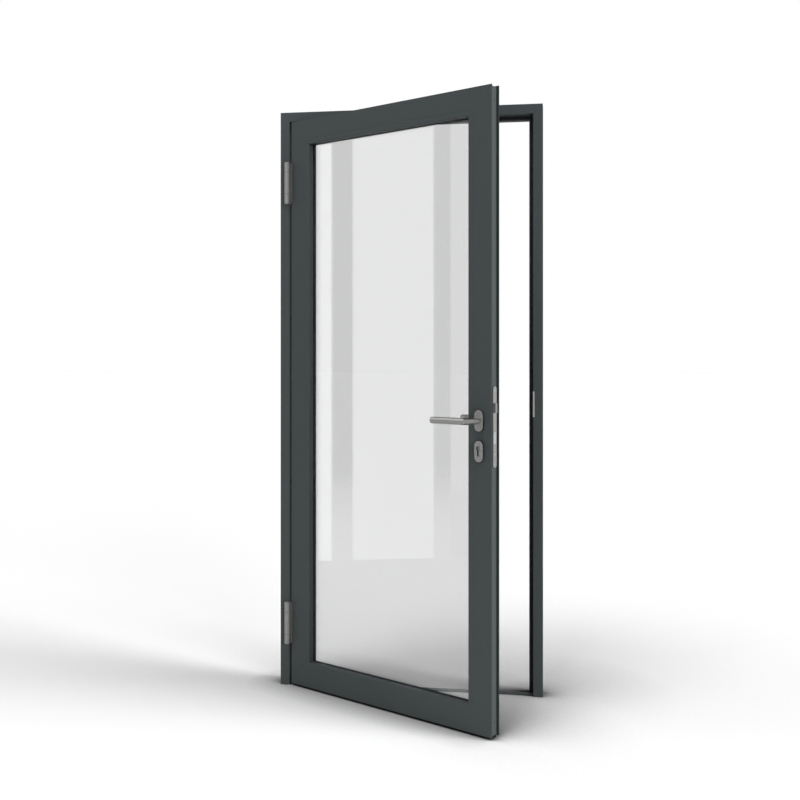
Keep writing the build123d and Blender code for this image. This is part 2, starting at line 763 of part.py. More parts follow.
for name, centre in hinge_centres.items():
    with BuildPart() as frame_part:
        with BuildSketch(level(FRAME, centre)):
            with Locations((hinge_x, hinge_y)):
                Circle(barrel_radius)
            Polygon(
                (frame_face, hinge_y),
                (frame_face + flap_thickness, hinge_y),
                (frame_face + flap_thickness, frame_flap_depth),
                (frame_face, frame_flap_depth),
                align=None,
            )
            with Locations((hinge_x, hinge_y)):
                Circle(hinge_pin_radius, mode=Mode.SUBTRACT)
        extrude(amount=frame_flap_half, both=True)
        flap_plane = side(FRAME, frame_face + flap_thickness)
        flap_spots = [(frame_screw_depth, centre + z) for z in hinge_screw_offsets]
        with Locations(*[flap_plane * Location(spot) for spot in flap_spots]):
            CounterSinkHole(hinge_screw_radius, hinge_screw_head, depth=flap_thickness + joint_gap)
    save(frame_part, f"hinge_{name}_frame_part")

    with BuildPart() as leaf_part:
        for start, reach in ((centre + end_start, 1), (centre - end_start, -1)):
            with BuildSketch(level(LEAF, start)):
                with Locations((hinge_u, hinge_y)):
                    Circle(barrel_radius)
                Polygon(
                    (-flap_thickness, hinge_y),
                    (0, -lug_thickness),
                    (lug_width, -lug_thickness),
                    (lug_width, 0),
                    (0, 0),
                    (0, groove_flap_front),
                    (edge_groove, groove_flap_front),
                    (edge_groove, 2 * groove_flap_front),
                    (-flap_thickness, 2 * groove_flap_front),
                    align=None,
                )
                with Locations((hinge_u, hinge_y)):
                    Circle(bush_radius, mode=Mode.SUBTRACT)
            extrude(amount=reach * (hinge_half - end_start))
        with BuildSketch(level(LEAF, centre)):
            Polygon(
                (0, groove_flap_front),
                (edge_groove, groove_flap_front),
                (edge_groove, groove_flap_back),
                (0, groove_flap_back),
                align=None,
            )
            Polygon(
                (lug_clearance, -lug_thickness),
                (lug_width, -lug_thickness),
                (lug_width, 0),
                (lug_clearance, 0),
                align=None,
            )
        extrude(amount=hinge_half, both=True)
        groove_plane = Plane(side(LEAF, 0).location * Location((0, 0, 0), (180, 0, 0)))
        with Locations(
            *[groove_plane * Location((leaf_screw_depth, -(centre + z))) for z in leaf_screw_offsets]
        ):
            CounterSinkHole(hinge_screw_radius, hinge_screw_head, depth=edge_groove + joint_gap)
    save(leaf_part, f"hinge_{name}_leaf_part")

    with BuildPart() as hinge_pin:
        with Locations(level(FRAME, centre - hinge_half) * Location((hinge_x, hinge_y, 0))):
            Cylinder(hinge_pin_radius, 2 * hinge_half, align=(Align.CENTER, Align.CENTER, Align.MIN))
        for end in (-1, 1):
            with BuildSketch(level(FRAME, centre + end * (hinge_half + washer_setback))):
                with Locations((hinge_x, hinge_y)):
                    Circle(barrel_radius)
            extrude(amount=end * pin_cap_height)
            with BuildSketch(level(FRAME, centre + end * hinge_half)):
                with Locations((hinge_x, hinge_y)):
                    Circle(hinge_pin_radius)
            extrude(amount=end * washer_setback)
        rims = hinge_pin.edges().filter_by(GeomType.CIRCLE).group_by(Axis.Z)
        chamfer(rims[0], pin_cap_height / 2)
        rims = hinge_pin.edges().filter_by(GeomType.CIRCLE).group_by(Axis.Z)
        chamfer(rims[-1], pin_cap_height / 2)
    save(hinge_pin, f"hinge_{name}_pin")

    with BuildPart() as hinge_bushes:
        for start, reach in ((centre + end_start, 1), (centre - end_start, -1)):
            with BuildSketch(level(LEAF, start)):
                with Locations((hinge_u, hinge_y)):
                    Circle(bush_radius)
                    Circle(hinge_pin_radius + running_clearance, mode=Mode.SUBTRACT)
            extrude(amount=reach * (hinge_half - end_start))
            with BuildSketch(level(LEAF, start)):
                with Locations((hinge_u, hinge_y)):
                    Circle(barrel_radius - washer_setback)
                    Circle(hinge_pin_radius + running_clearance, mode=Mode.SUBTRACT)
            extrude(amount=-reach * (washer_gap - 2 * running_clearance))
    save(hinge_bushes, f"hinge_{name}_bushes")

frame_flap_face = side(FRAME, frame_face + flap_thickness)
frame_screw_spots = [(frame_screw_depth, z) for z in hinge_screw_heights]
groove_face = Plane(side(LEAF, 0).location * Location((0, 0, 0), (180, 0, 0)))
leaf_screw_spots = [(leaf_screw_depth, -z) for z in leaf_hinge_heights]
hinge_screw = (hinge_screw_radius, hinge_screw_head, hinge_screw_length)
save(countersunk_screws(frame_flap_face, frame_screw_spots, *hinge_screw), "hinge_frame_screws")
save(countersunk_screws(groove_face, leaf_screw_spots, *hinge_screw), "hinge_leaf_screws")

# ---- lock ----
case_front_v = edge_middle - lock_case_thickness / 2
latch_tip = lock_edge + faceplate_thickness + latch_projection
latch_seat = lock_edge + faceplate_thickness
bolt_front_v = edge_middle - bolt_thickness / 2
deadbolt_tip = lock_edge + faceplate_thickness
cylinder_screw_height = cylinder_height - cylinder_screw_drop
follower_clear = follower_boss_radius + running_clearance


def bolt_apertures(grow):
    """Openings for the latch and the deadbolt, through the case front and the faceplate."""
    for height, tall in ((latch_middle, latch_height), (deadbolt_middle, deadbolt_height)):
        with Locations((edge_middle, height)):
            Rectangle(bolt_thickness + 2 * grow, tall + 2 * grow)


with BuildPart() as lock_case:
    with BuildSketch(facing(LEAF, case_front_v)):
        with Locations((lock_edge, case_middle)):
            Rectangle(lock_case_depth, lock_case_height, align=(Align.MAX, Align.CENTER))
    extrude(amount=-lock_case_thickness)
    with BuildSketch(facing(LEAF, case_front_v + lock_case_wall)):
        with Locations((lock_edge - lock_case_wall, case_middle)):
            Rectangle(
                lock_case_depth - 2 * lock_case_wall,
                lock_case_height - 2 * lock_case_wall,
                align=(Align.MAX, Align.CENTER),
            )
    extrude(amount=-(lock_case_thickness - 2 * lock_case_wall), mode=Mode.SUBTRACT)
    with BuildSketch(side(LEAF, lock_edge)):
        bolt_apertures(bolt_clearance)
        with Locations((edge_middle, cylinder_screw_height)):
            Circle(screw_radius + running_clearance)
    extrude(amount=-2 * lock_case_wall, mode=Mode.SUBTRACT)
    with BuildSketch(facing(LEAF, leaf_thickness)):
        profile_cylinder_outline(case_clearance)
        with Locations((handle_u, handle_height)):
            Circle(follower_clear)
    extrude(amount=leaf_thickness, mode=Mode.SUBTRACT)
save(lock_case, "lock_case")

with BuildPart() as lock_faceplate:
    with BuildSketch(side(LEAF, lock_edge)):
        with Locations((edge_middle, faceplate_middle)):
            SlotOverall(faceplate_height, faceplate_width, rotation=90)
    extrude(amount=faceplate_thickness)
    with BuildSketch(side(LEAF, lock_edge)):
        bolt_apertures(bolt_clearance)
    extrude(amount=faceplate_thickness, mode=Mode.SUBTRACT)
    plate_face = side(LEAF, lock_edge + faceplate_thickness)
    with Locations(*[plate_face * Location((edge_middle, z)) for z in faceplate_screw_heights]):
        CounterSinkHole(screw_radius + running_clearance, screw_head_radius)
    with Locations(plate_face * Location((edge_middle, cylinder_screw_height))):
        CounterSinkHole(screw_radius + running_clearance, screw_head_radius)
save(lock_faceplate, "lock_faceplate")

faceplate_screws = countersunk_screws(
    plate_face,
    [(edge_middle, z) for z in faceplate_screw_heights],
    screw_radius,
    screw_head_radius - running_clearance,
    faceplate_screw_length,
)
save(faceplate_screws, "faceplate_screws")

cylinder_screw = countersunk_screws(
    plate_face,
    [(edge_middle, cylinder_screw_height)],
    screw_radius,
    screw_head_radius - running_clearance,
    backset + screw_radius,
)
save(cylinder_screw, "cylinder_screw")

cylinder_front = -rose_thickness + cylinder_recess
cylinder_back = leaf_thickness + rose_thickness - cylinder_recess
plug_clear = plug_radius + running_clearance

with BuildPart() as cylinder_body:
    with BuildSketch(facing(LEAF, cylinder_back)):
        profile_cylinder_outline(0)
        with Locations((handle_u, cylinder_height)):
            Circle(plug_clear, mode=Mode.SUBTRACT)
    extrude(amount=cylinder_back - cylinder_front)
    with BuildSketch(facing(LEAF, edge_middle + cam_gap / 2)):
        with Locations((handle_u, cylinder_height)):
            Circle(cam_radius + cam_clearance)
    extrude(amount=cam_gap, mode=Mode.SUBTRACT)
    with Locations(side(LEAF, handle_u + web_width) * Location((edge_middle, cylinder_screw_height))):
        Hole(screw_radius + running_clearance, depth=2 * web_width)
save(cylinder_body, "cylinder_body")


def plug(front, back, face, into):
    """One half's plug with its keyway, cut from its outer face into the leaf."""
    with BuildPart() as turned:
        with BuildSketch(facing(LEAF, back)):
            with Locations((handle_u, cylinder_height)):
                Circle(plug_radius)
        extrude(amount=back - front)
        with BuildSketch(facing(LEAF, face)):
            with Locations((handle_u, cylinder_height)):
                Rectangle(keyway_width, keyway_height)
        extrude(amount=into * keyway_depth, mode=Mode.SUBTRACT)
    return turned


with BuildPart() as pull_plug:
    add(plug(cylinder_front, edge_middle + cam_thickness / 2, cylinder_front, -1).part)
    with BuildSketch(facing(LEAF, edge_middle + cam_thickness / 2)):
        with Locations((handle_u, cylinder_height)):
            Circle(cam_hub_radius)
            Rectangle(cam_lobe_width, cam_radius - cam_clearance, align=(Align.CENTER, Align.MIN))
    extrude(amount=cam_thickness)
save(pull_plug, "pull_plug")

push_plug = plug(edge_middle + cam_gap / 2, cylinder_back, cylinder_back, 1)
save(push_plug, "push_plug")

tail_near = handle_u - follower_arm_width / 2 - follower_play
tail_low = handle_height + follower_arm_length - latch_tail_reach
latch_top = latch_middle + latch_height / 2
latch_low = latch_middle - latch_height / 2

with BuildPart() as latch_bolt:
    with BuildSketch(facing(LEAF, bolt_front_v + bolt_thickness)):
        Polygon(
            (latch_tip, latch_top),
            (tail_near - latch_tail_width, latch_top),
            (tail_near - latch_tail_width, tail_low),
            (tail_near, tail_low),
            (tail_near, latch_low),
            (latch_tip, latch_low),
            align=None,
        )
    extrude(amount=bolt_thickness)
    with BuildSketch(level(LEAF, latch_low)):
        Polygon(
            (latch_tip, bolt_front_v + latch_nose),
            (latch_tip, bolt_front_v + bolt_thickness),
            (latch_seat, bolt_front_v + bolt_thickness),
            align=None,
        )
    extrude(amount=latch_height, mode=Mode.SUBTRACT)
save(latch_bolt, "latch_bolt")

with BuildPart() as deadbolt:
    with BuildSketch(facing(LEAF, bolt_front_v + bolt_thickness)):
        with Locations((deadbolt_tip, deadbolt_middle)):
            Rectangle(deadbolt_length, deadbolt_height, align=(Align.MAX, Align.CENTER))
    extrude(amount=bolt_thickness)
save(deadbolt, "deadbolt")

with BuildPart() as follower:
    with BuildSketch(facing(LEAF, edge_middle)):
        with Locations((handle_u, handle_height)):
            Circle(follower_radius)
            Rectangle(follower_arm_width, follower_arm_length, align=(Align.CENTER, Align.MIN))
    extrude(amount=bolt_thickness / 2, both=True)
    with BuildSketch(facing(LEAF, edge_middle)):
        with Locations((handle_u, handle_height)):
            Circle(follower_boss_radius)
    extrude(amount=lock_case_thickness / 2, both=True)
    with BuildSketch(facing(LEAF, edge_middle)):
        with Locations((handle_u, handle_height)):
            Rectangle(spindle_size, spindle_size)
    extrude(amount=lock_case_thickness / 2, both=True, mode=Mode.SUBTRACT)
save(follower, "follower")

with BuildPart() as spindle:
    with BuildSketch(facing(LEAF, edge_middle)):
        with Locations((handle_u, handle_height)):
            Rectangle(spindle_size, spindle_size)
    extrude(amount=edge_middle + spindle_depth, both=True)
save(spindle, "spindle")

# ---- strike ----
strike_skin = jamb_inner + strike_thickness
pocket_heights = ((latch_middle, latch_height), (deadbolt_middle, deadbolt_height))
pocket_width = bolt_thickness + 2 * pocket_clearance
bolt_reach = deadbolt_throw - joint_gap - edge_groove + faceplate_thickness
box_depth = bolt_reach - strike_thickness + box_end_gap + box_wall
bolt_line = edge_middle

with BuildPart() as strike_plate:
    with BuildSketch(side(FRAME, jamb_inner)):
        with Locations((strike_depth_middle, strike_middle)):
            Rectangle(strike_width, strike_height)
    extrude(amount=strike_thickness)
    with BuildSketch(level(FRAME, strike_lip_middle)):
        Polygon(
            (jamb_inner - strike_lip_inside, -strike_lip_thickness),
            (jamb_inner + strike_lip_reach, -strike_lip_thickness),
            (jamb_inner + strike_lip_reach, 0),
            (jamb_inner, 0),
            (jamb_inner, strike_lip_back),
            (jamb_inner - strike_lip_inside, strike_lip_back - strike_lip_inside),
            align=None,
        )
    extrude(amount=strike_lip_height / 2, both=True)
    with BuildSketch(side(FRAME, jamb_inner - strike_thickness)):
        for height, tall in pocket_heights:
            with Locations((bolt_line, height)):
                Rectangle(pocket_width, tall + 2 * pocket_clearance)
    extrude(amount=2 * strike_thickness, mode=Mode.SUBTRACT)
    strike_face = Plane(side(FRAME, jamb_inner).location * Location((0, 0, 0), (180, 0, 0)))
    with Locations(*[strike_face * Location((strike_depth_middle, -z)) for z in strike_screw_heights]):
        CounterSinkHole(screw_radius + running_clearance, screw_head_radius)
save(strike_plate, "strike_plate")

with BuildPart() as strike_box:
    with BuildSketch(side(FRAME, strike_skin)):
        with Locations((strike_depth_middle, strike_middle)):
            Rectangle(strike_width, strike_height)
    extrude(amount=box_depth)
    with BuildSketch(side(FRAME, strike_skin)):
        for height, tall in pocket_heights:
            with Locations((bolt_line, height)):
                Rectangle(pocket_width, tall + 2 * pocket_clearance)
    extrude(amount=box_depth - box_wall, mode=Mode.SUBTRACT)
    with Locations(*[strike_face * Location((strike_depth_middle, -z)) for z in strike_screw_heights]):
        Hole(screw_radius, depth=strike_screw_length)
save(strike_box, "strike_box")

strike_screws = countersunk_screws(
    strike_face,
    [(strike_depth_middle, -z) for z in strike_screw_heights],
    screw_radius,
    screw_head_radius - running_clearance,
    strike_screw_length,
)
save(strike_screws, "strike_screws")

# ---- lever furniture ----
push_mirror = facing(LEAF, edge_middle)


def cover(height):
    """Oval cover plate on the pull side, hollow behind, with bosses for its two studs."""
    with BuildPart() as plate:
        with BuildSketch(facing(LEAF, 0)):
            with Locations((handle_u, height)):
                SlotOverall(rose_height, rose_width, rotation=90)
        extrude(amount=rose_thickness)
        rim = plate.faces().sort_by(Axis((0, 0, 0), tuple(push_mirror.z_dir)))[-1]
        fillet(rim.edges(), rose_edge)
        with BuildSketch(facing(LEAF, 0)):
            with Locations((handle_u, height)):
                SlotOverall(rose_height - 2 * rose_wall, rose_width - 2 * rose_wall, rotation=90)
                with GridLocations(1, 2 * rose_stud_offset, 1, 2):
                    Circle(stud_boss_radius, mode=Mode.SUBTRACT)
        extrude(amount=rose_thickness - rose_wall, mode=Mode.SUBTRACT)
        with Locations(*[facing(LEAF, 0) * Location((handle_u, height + z)) for z in stud_spots]):
            Cylinder(
                stud_radius,
                stud_length / 2,
                align=(Align.CENTER, Align.CENTER, Align.MIN),
                mode=Mode.SUBTRACT,
            )
    return plate


stud_spots = (-rose_stud_offset, rose_stud_offset)

with BuildPart() as pull_rose:
    add(cover(handle_height).part)
    with BuildSketch(facing(LEAF, 0)):
        with Locations((handle_u, handle_height)):
            Circle(collar_radius + rose_wall)
    extrude(amount=rose_thickness)
    with BuildSketch(facing(LEAF, 0)):
        with Locations((handle_u, handle_height)):
            Circle(collar_radius + running_clearance)
    extrude(amount=rose_thickness, mode=Mode.SUBTRACT)
save(pull_rose, "pull_rose")

with BuildPart() as push_rose:
    mirror(pull_rose.part, about=push_mirror)
save(push_rose, "push_rose")

with BuildPart() as pull_escutcheon:
    add(cover(escutcheon_height).part)
    with BuildSketch(facing(LEAF, 0)):
        profile_cylinder_outline(case_clearance)
    extrude(amount=rose_thickness, mode=Mode.SUBTRACT)
save(pull_escutcheon, "pull_escutcheon")

with BuildPart() as push_escutcheon:
    mirror(pull_escutcheon.part, about=push_mirror)
save(push_escutcheon, "push_escutcheon")

with BuildPart() as furniture_studs:
    for height in (handle_height, escutcheon_height):
        for offset in stud_spots:
            with BuildSketch(facing(LEAF, stud_length / 2)):
                with Locations((handle_u, height + offset)):
                    Circle(stud_radius)
            extrude(amount=stud_length)
            with BuildSketch(facing(LEAF, leaf_wall + stud_radius)):
                with Locations((handle_u, height + offset)):
                    Circle(stud_nut_radius)
            extrude(amount=stud_radius)
    mirror(about=push_mirror)
save(furniture_studs, "furniture_studs")

lever_face = -rose_thickness - lever_gap
neck_start = lever_face + neck_overrun
neck_slope = lever_neck_shift / (lever_standoff + lever_face)
neck_start_shift = (neck_start - lever_face) * neck_slope

with BuildPart() as pull_lever:
    with BuildLine(level(LEAF, handle_height)):
        Polyline(
            (handle_u + neck_start_shift, neck_start),
            (handle_u - lever_neck_shift, -lever_standoff),
            (handle_u - lever_length, -lever_standoff),
        )
    neck_direction = Vector(-(lever_neck_shift + neck_start_shift), -(lever_standoff + neck_start), 0)
    neck_base = Plane(
        origin=(handle_u + neck_start_shift, neck_start, handle_height), x_dir=(0, 0, 1), z_dir=neck_direction
    )
    with BuildSketch(Plane(LEAF * neck_base.location)):
        Circle(lever_radius)
    sweep(transition=Transition.RIGHT)
    split(bisect_by=facing(LEAF, lever_face), keep=Keep.TOP)
    end_face = pull_lever.faces().sort_by(Axis((0, 0, 0), tuple(side(LEAF, 0).z_dir)))[0]
    fillet(end_face.edges(), lever_end_radius)
    with BuildSketch(facing(LEAF, -lever_gap)):
        with Locations((handle_u, handle_height)):
            Circle(collar_radius)
    extrude(amount=rose_thickness)
    with BuildSketch(facing(LEAF, 0)):
        with Locations((handle_u, handle_height)):
            Rectangle(spindle_size, spindle_size)
    extrude(amount=spindle_depth, mode=Mode.SUBTRACT)
    grub_plane = level(LEAF, handle_height)
    with Locations(grub_plane * Location((handle_u, lever_face - grub_depth, 0), (180, 0, 0))):
        Cylinder(
            grub_radius,
            2 * lever_radius,
            align=(Align.CENTER, Align.CENTER, Align.MIN),
            mode=Mode.SUBTRACT,
        )
save(pull_lever, "pull_lever")

with BuildPart() as push_lever:
    mirror(pull_lever.part, about=push_mirror)
save(push_lever, "push_lever")

grub_top = handle_height - spindle_size / 2

with BuildPart() as lever_grub_screws:
    with Locations(level(LEAF, grub_top) * Location((handle_u, lever_face - grub_depth, 0), (180, 0, 0))):
        Cylinder(grub_radius, grub_depth, align=(Align.CENTER, Align.CENTER, Align.MIN))
    mirror(about=push_mirror)
save(lever_grub_screws, "lever_grub_screws")
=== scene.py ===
import json
import math

import bmesh
import bpy
from mathutils import Matrix, Vector


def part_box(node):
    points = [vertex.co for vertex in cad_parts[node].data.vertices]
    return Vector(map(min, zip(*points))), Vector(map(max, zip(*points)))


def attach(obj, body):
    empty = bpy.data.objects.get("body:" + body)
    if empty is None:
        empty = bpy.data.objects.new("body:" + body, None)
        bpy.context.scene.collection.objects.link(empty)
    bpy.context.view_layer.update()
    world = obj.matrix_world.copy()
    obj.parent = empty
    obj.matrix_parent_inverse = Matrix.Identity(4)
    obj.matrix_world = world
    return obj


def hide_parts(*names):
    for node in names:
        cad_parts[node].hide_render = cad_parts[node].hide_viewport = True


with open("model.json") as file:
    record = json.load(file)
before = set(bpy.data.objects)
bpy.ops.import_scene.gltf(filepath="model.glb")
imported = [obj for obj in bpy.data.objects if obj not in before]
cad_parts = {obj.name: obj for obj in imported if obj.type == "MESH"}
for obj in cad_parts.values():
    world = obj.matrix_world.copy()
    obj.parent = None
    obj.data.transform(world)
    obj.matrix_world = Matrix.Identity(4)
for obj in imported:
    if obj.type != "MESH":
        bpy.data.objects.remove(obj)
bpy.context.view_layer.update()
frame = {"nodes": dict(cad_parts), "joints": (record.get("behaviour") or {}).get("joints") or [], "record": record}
scene = bpy.context.scene

MM = 0.001
# Edges that turn by less than this are shaded smooth.
SOFT_EDGE = math.radians(38.0)
PIECE_WELD = 0.001 * MM
SOLID_WELD = 0.002 * MM
# A ray's depths are whole numbers; this tells none from one or more.
ANY_BOUNCE = 0.5

# ---- places ----
# Every piece is made in the door's own plain coordinates (x along the width, y through the
# thickness, z up) and then put in place with its frame or its leaf.
swing = next(joint for joint in frame["joints"] if joint["name"] == "door_swing")
hinge_line = Vector(swing["pos_m"])
hinge_line.z = 0.0
open_angle = math.radians(swing["range_deg"][0])


def solid_boxes(node, place):
    """Lowest and highest corner of each separate solid of a CAD node, as seen from place."""
    build = bmesh.new()
    build.from_mesh(frame["nodes"][node].data)
    bmesh.ops.transform(build, matrix=place.inverted(), verts=build.verts)
    bmesh.ops.remove_doubles(build, verts=build.verts, dist=SOLID_WELD)
    boxes = []
    unseen = set(build.verts)
    while unseen:
        group = [unseen.pop()]
        low, high = group[0].co.copy(), group[0].co.copy()
        while group:
            vertex = group.pop()
            low = Vector(map(min, low, vertex.co))
            high = Vector(map(max, high, vertex.co))
            for edge in vertex.link_edges:
                other = edge.other_vert(vertex)
                if other in unseen:
                    unseen.remove(other)
                    group.append(other)
        boxes.append((low, high))
    build.free()
    return sorted(boxes, key=lambda box: tuple(round(value, 5) for value in box[0]))


def whole_box(node, place):
    """Lowest and highest corner of a CAD node in the coordinates of place."""
    points = [place.inverted() @ vertex.co for vertex in frame["nodes"][node].data.vertices]
    return Vector(map(min, *points)), Vector(map(max, *points))


frame_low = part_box("hinge_jamb")[0]
FRAME = Matrix.Translation((frame_low.x, frame_low.y, 0.0))
HINGE = Matrix.Translation(hinge_line) @ Matrix.Rotation(open_angle, 4, "Z")
stile_low = whole_box("hinge_stile", HINGE)[0]
LEAF = HINGE @ Matrix.Translation((stile_low.x, stile_low.y, 0.0))


# ---- material helpers ----
def new_material(name):
    """An empty material with its nodes, links and Principled shader."""
    material = bpy.data.materials.new(name)
    material.use_nodes = True
    return material, material.node_tree.nodes, material.node_tree.links


def maths(nodes, links, operation, first, second, third=None):
    """One Math node on sockets or numbers."""
    node = nodes.new("ShaderNodeMath")
    node.operation = operation
    for socket, value in zip(node.inputs, (first, second, third)):
        if value is None:
            continue
        if isinstance(value, (int, float)):
            socket.default_value = value
        else:
            links.new(value, socket)
    return node.outputs["Value"]


def new_group(name, inputs, outputs):
    """An empty shader node group with its named sockets."""
    group = bpy.data.node_groups.new(name, "ShaderNodeTree")
    for socket, kind in inputs:
        group.interface.new_socket(socket, in_out="INPUT", socket_type=f"NodeSocket{kind}")
    for socket, kind in outputs:
        group.interface.new_socket(socket, in_out="OUTPUT", socket_type=f"NodeSocket{kind}")
    taken = group.nodes.new("NodeGroupInput").outputs
    given = group.nodes.new("NodeGroupOutput").inputs
    return group, group.nodes, group.links, taken, given


def noise(nodes, links, place, scale, detail=2.0, roughness=0.5):
    """A noise pattern; its scale is in cycles per metre."""
    texture = nodes.new("ShaderNodeTexNoise")
    texture.inputs["Scale"].default_value = scale
    texture.inputs["Detail"].default_value = detail
    texture.inputs["Roughness"].default_value = roughness
    links.new(place, texture.inputs["Vector"])
    return texture.outputs["Fac"]


def shade_by(nodes, links, colour, amount):
    """A colour made lighter or darker by a factor near one."""
    scaled = nodes.new("ShaderNodeVectorMath")
    scaled.operation = "SCALE"
    links.new(colour, scaled.inputs[0])
    links.new(amount, scaled.inputs["Scale"])
    return scaled.outputs["Vector"]


BEVEL_SAMPLES = 4


def rounded_bump(nodes, links, height, strength, distance, edge):
    """Bumps over the normal that a bevel of this radius would give."""
    bevel = nodes.new("ShaderNodeBevel")
    bevel.samples = BEVEL_SAMPLES
    bevel.inputs["Radius"].default_value = edge
    bump = nodes.new("ShaderNodeBump")
    bump.inputs["Distance"].default_value = distance
    links.new(bevel.outputs["Normal"], bump.inputs["Normal"])
    links.new(height, bump.inputs["Height"])
    links.new(strength, bump.inputs["Strength"])
    return bump.outputs["Normal"]


FINISH_OUTPUTS = (("Colour", "Color"), ("Roughness", "Float"), ("Normal", "Vector"))


def powder_coat_group():
    """Powder coating: fine peel, a sparse metallic speckle, and slow drifts of tone and gloss."""
    group, nodes, links, taken, given = new_group(
        "powder_coat_finish",
        (("Colour", "Color"), ("Speckle", "Float"), ("Roughness", "Float"), ("Peel", "Float")),
        FINISH_OUTPUTS,
    )
    place = nodes.new("ShaderNodeTexCoord").outputs["Object"]
    drift = noise(nodes, links, place, 2.2, 3.0)
    cloud = noise(nodes, links, place, 38.0, 4.0, 0.6)
    grit = noise(nodes, links, place, 1500.0, 1.0)
    tone = maths(nodes, links, "MULTIPLY_ADD", drift, 0.1, 0.95)
    tone = maths(nodes, links, "MULTIPLY_ADD", cloud, 0.05, tone)
    fleck = maths(nodes, links, "SUBTRACT", grit, 0.5)
    tone = maths(nodes, links, "MULTIPLY_ADD", fleck, taken["Speckle"], tone)
    links.new(shade_by(nodes, links, taken["Colour"], tone), given["Colour"])
    gloss = maths(nodes, links, "SUBTRACT", cloud, 0.5)
    gloss = maths(nodes, links, "MULTIPLY_ADD", gloss, 0.14, taken["Roughness"])
    gloss = maths(nodes, links, "MULTIPLY_ADD", fleck, 0.12, gloss)
    links.new(gloss, given["Roughness"])
    peel = noise(nodes, links, place, 620.0, 2.0, 0.4)
    height = maths(nodes, links, "MULTIPLY_ADD", grit, 0.35, peel)
    normal = rounded_bump(nodes, links, height, taken["Peel"], 0.06 * MM, 0.5 * MM)
    links.new(normal, given["Normal"])
    return group


def drawn_metal_group():
    """Brushed or drawn metal: long fine streaks in tone, gloss and height, and cloudy marks."""
    group, nodes, links, taken, given = new_group(
        "drawn_metal_finish",
        (
            ("Along", "Vector"),
            ("Colour", "Color"),
            ("Streaks", "Float"),
            ("Roughness", "Float"),
            ("Depth", "Float"),
        ),
        FINISH_OUTPUTS,
    )
    place = nodes.new("ShaderNodeTexCoord").outputs["Object"]
    fine = noise(nodes, links, taken["Along"], 2600.0, 2.0, 0.6)
    broad = noise(nodes, links, taken["Along"], 420.0, 2.0, 0.5)
    marks = noise(nodes, links, place, 60.0, 4.0, 0.6)
    streak = maths(nodes, links, "MULTIPLY_ADD", broad, 0.6, fine)
    streak = maths(nodes, links, "SUBTRACT", streak, 0.8)
    tone = maths(nodes, links, "MULTIPLY_ADD", streak, taken["Streaks"], 1.0)
    links.new(shade_by(nodes, links, taken["Colour"], tone), given["Colour"])
    gloss = maths(nodes, links, "MULTIPLY_ADD", streak, 0.22, taken["Roughness"])
    smear = maths(nodes, links, "SUBTRACT", marks, 0.5)
    gloss = maths(nodes, links, "MULTIPLY_ADD", smear, 0.16, gloss)
    links.new(gloss, given["Roughness"])
    normal = rounded_bump(nodes, links, fine, taken["Depth"], 0.02 * MM, 0.35 * MM)
    links.new(normal, given["Normal"])
    return group


def moulded_group():
    """Moulded rubber or plastic: a fine skin and a dusty bloom, soft clouds of tone and gloss."""
    group, nodes, links, taken, given = new_group(
        "moulded_finish",
        (("Colour", "Color"), ("Bloom", "Float"), ("Roughness", "Float"), ("Skin", "Float")),
        FINISH_OUTPUTS,
    )
    place = nodes.new("ShaderNodeTexCoord").outputs["Object"]
    cloud = noise(nodes, links, place, 45.0, 5.0, 0.65)
    skin = noise(nodes, links, place, 1900.0, 2.0, 0.6)
    soft = maths(nodes, links, "SUBTRACT", cloud, 0.42)
    tone = maths(nodes, links, "MULTIPLY_ADD", soft, taken["Bloom"], 1.0)
    links.new(shade_by(nodes, links, taken["Colour"], tone), given["Colour"])
    gloss = maths(nodes, links, "MULTIPLY_ADD", soft, 0.3, taken["Roughness"])
    links.new(gloss, given["Roughness"])
    normal = rounded_bump(nodes, links, skin, taken["Skin"], 0.05 * MM, 0.25 * MM)
    links.new(normal, given["Normal"])
    return group


POWDER_COAT = powder_coat_group()
DRAWN_METAL = drawn_metal_group()
MOULDED = moulded_group()


def dressed(name, group, values, metallic):
    """A material whose colour, roughness and normal come through one of the shared finishes."""
    material, nodes, links = new_material(name)
    finish = nodes.new("ShaderNodeGroup")
    finish.node_tree = group
    for socket, value in values.items():
        finish.inputs[socket].default_value = (*value, 1.0) if isinstance(value, tuple) else value
    shader = nodes["Principled BSDF"]
    links.new(finish.outputs["Colour"], shader.inputs["Base Color"])
    links.new(finish.outputs["Roughness"], shader.inputs["Roughness"])
    links.new(finish.outputs["Normal"], shader.inputs["Normal"])
    shader.inputs["Metallic"].default_value = metallic
    return material, nodes, links, finish


# Scale of the pattern along the brushing, against one across it, which draws it out in streaks.
STREAK_STRETCH = 0.012


def metal(name, colour, roughness, brushing, streaks=0.3, depth=0.4):
    """Metal brushed along the height ("upright") or along the leaf's own width ("across")."""
    values = {"Colour": colour, "Streaks": streaks, "Roughness": roughness, "Depth": depth}
    material, nodes, links, finish = dressed(name, DRAWN_METAL, values, 1.0)
    turn = nodes.new("ShaderNodeMapping")
    if brushing == "upright":
        turn.inputs["Scale"].default_value = (1.0, 1.0, STREAK_STRETCH)
    else:
        turn.inputs["Rotation"].default_value = (0.0, 0.0, -open_angle)
        turn.inputs["Scale"].default_value = (STREAK_STRETCH, 1.0, 1.0)
    place = nodes.new("ShaderNodeTexCoord").outputs["Object"]
    links.new(place, turn.inputs["Vector"])
    links.new(turn.outputs["Vector"], finish.inputs["Along"])
    return material


def coat(name, colour, roughness):
    """Powder coating."""
    values = {"Colour": colour, "Speckle": 0.25, "Roughness": roughness, "Peel": 0.5}
    return dressed(name, POWDER_COAT, values, 0.0)[0]


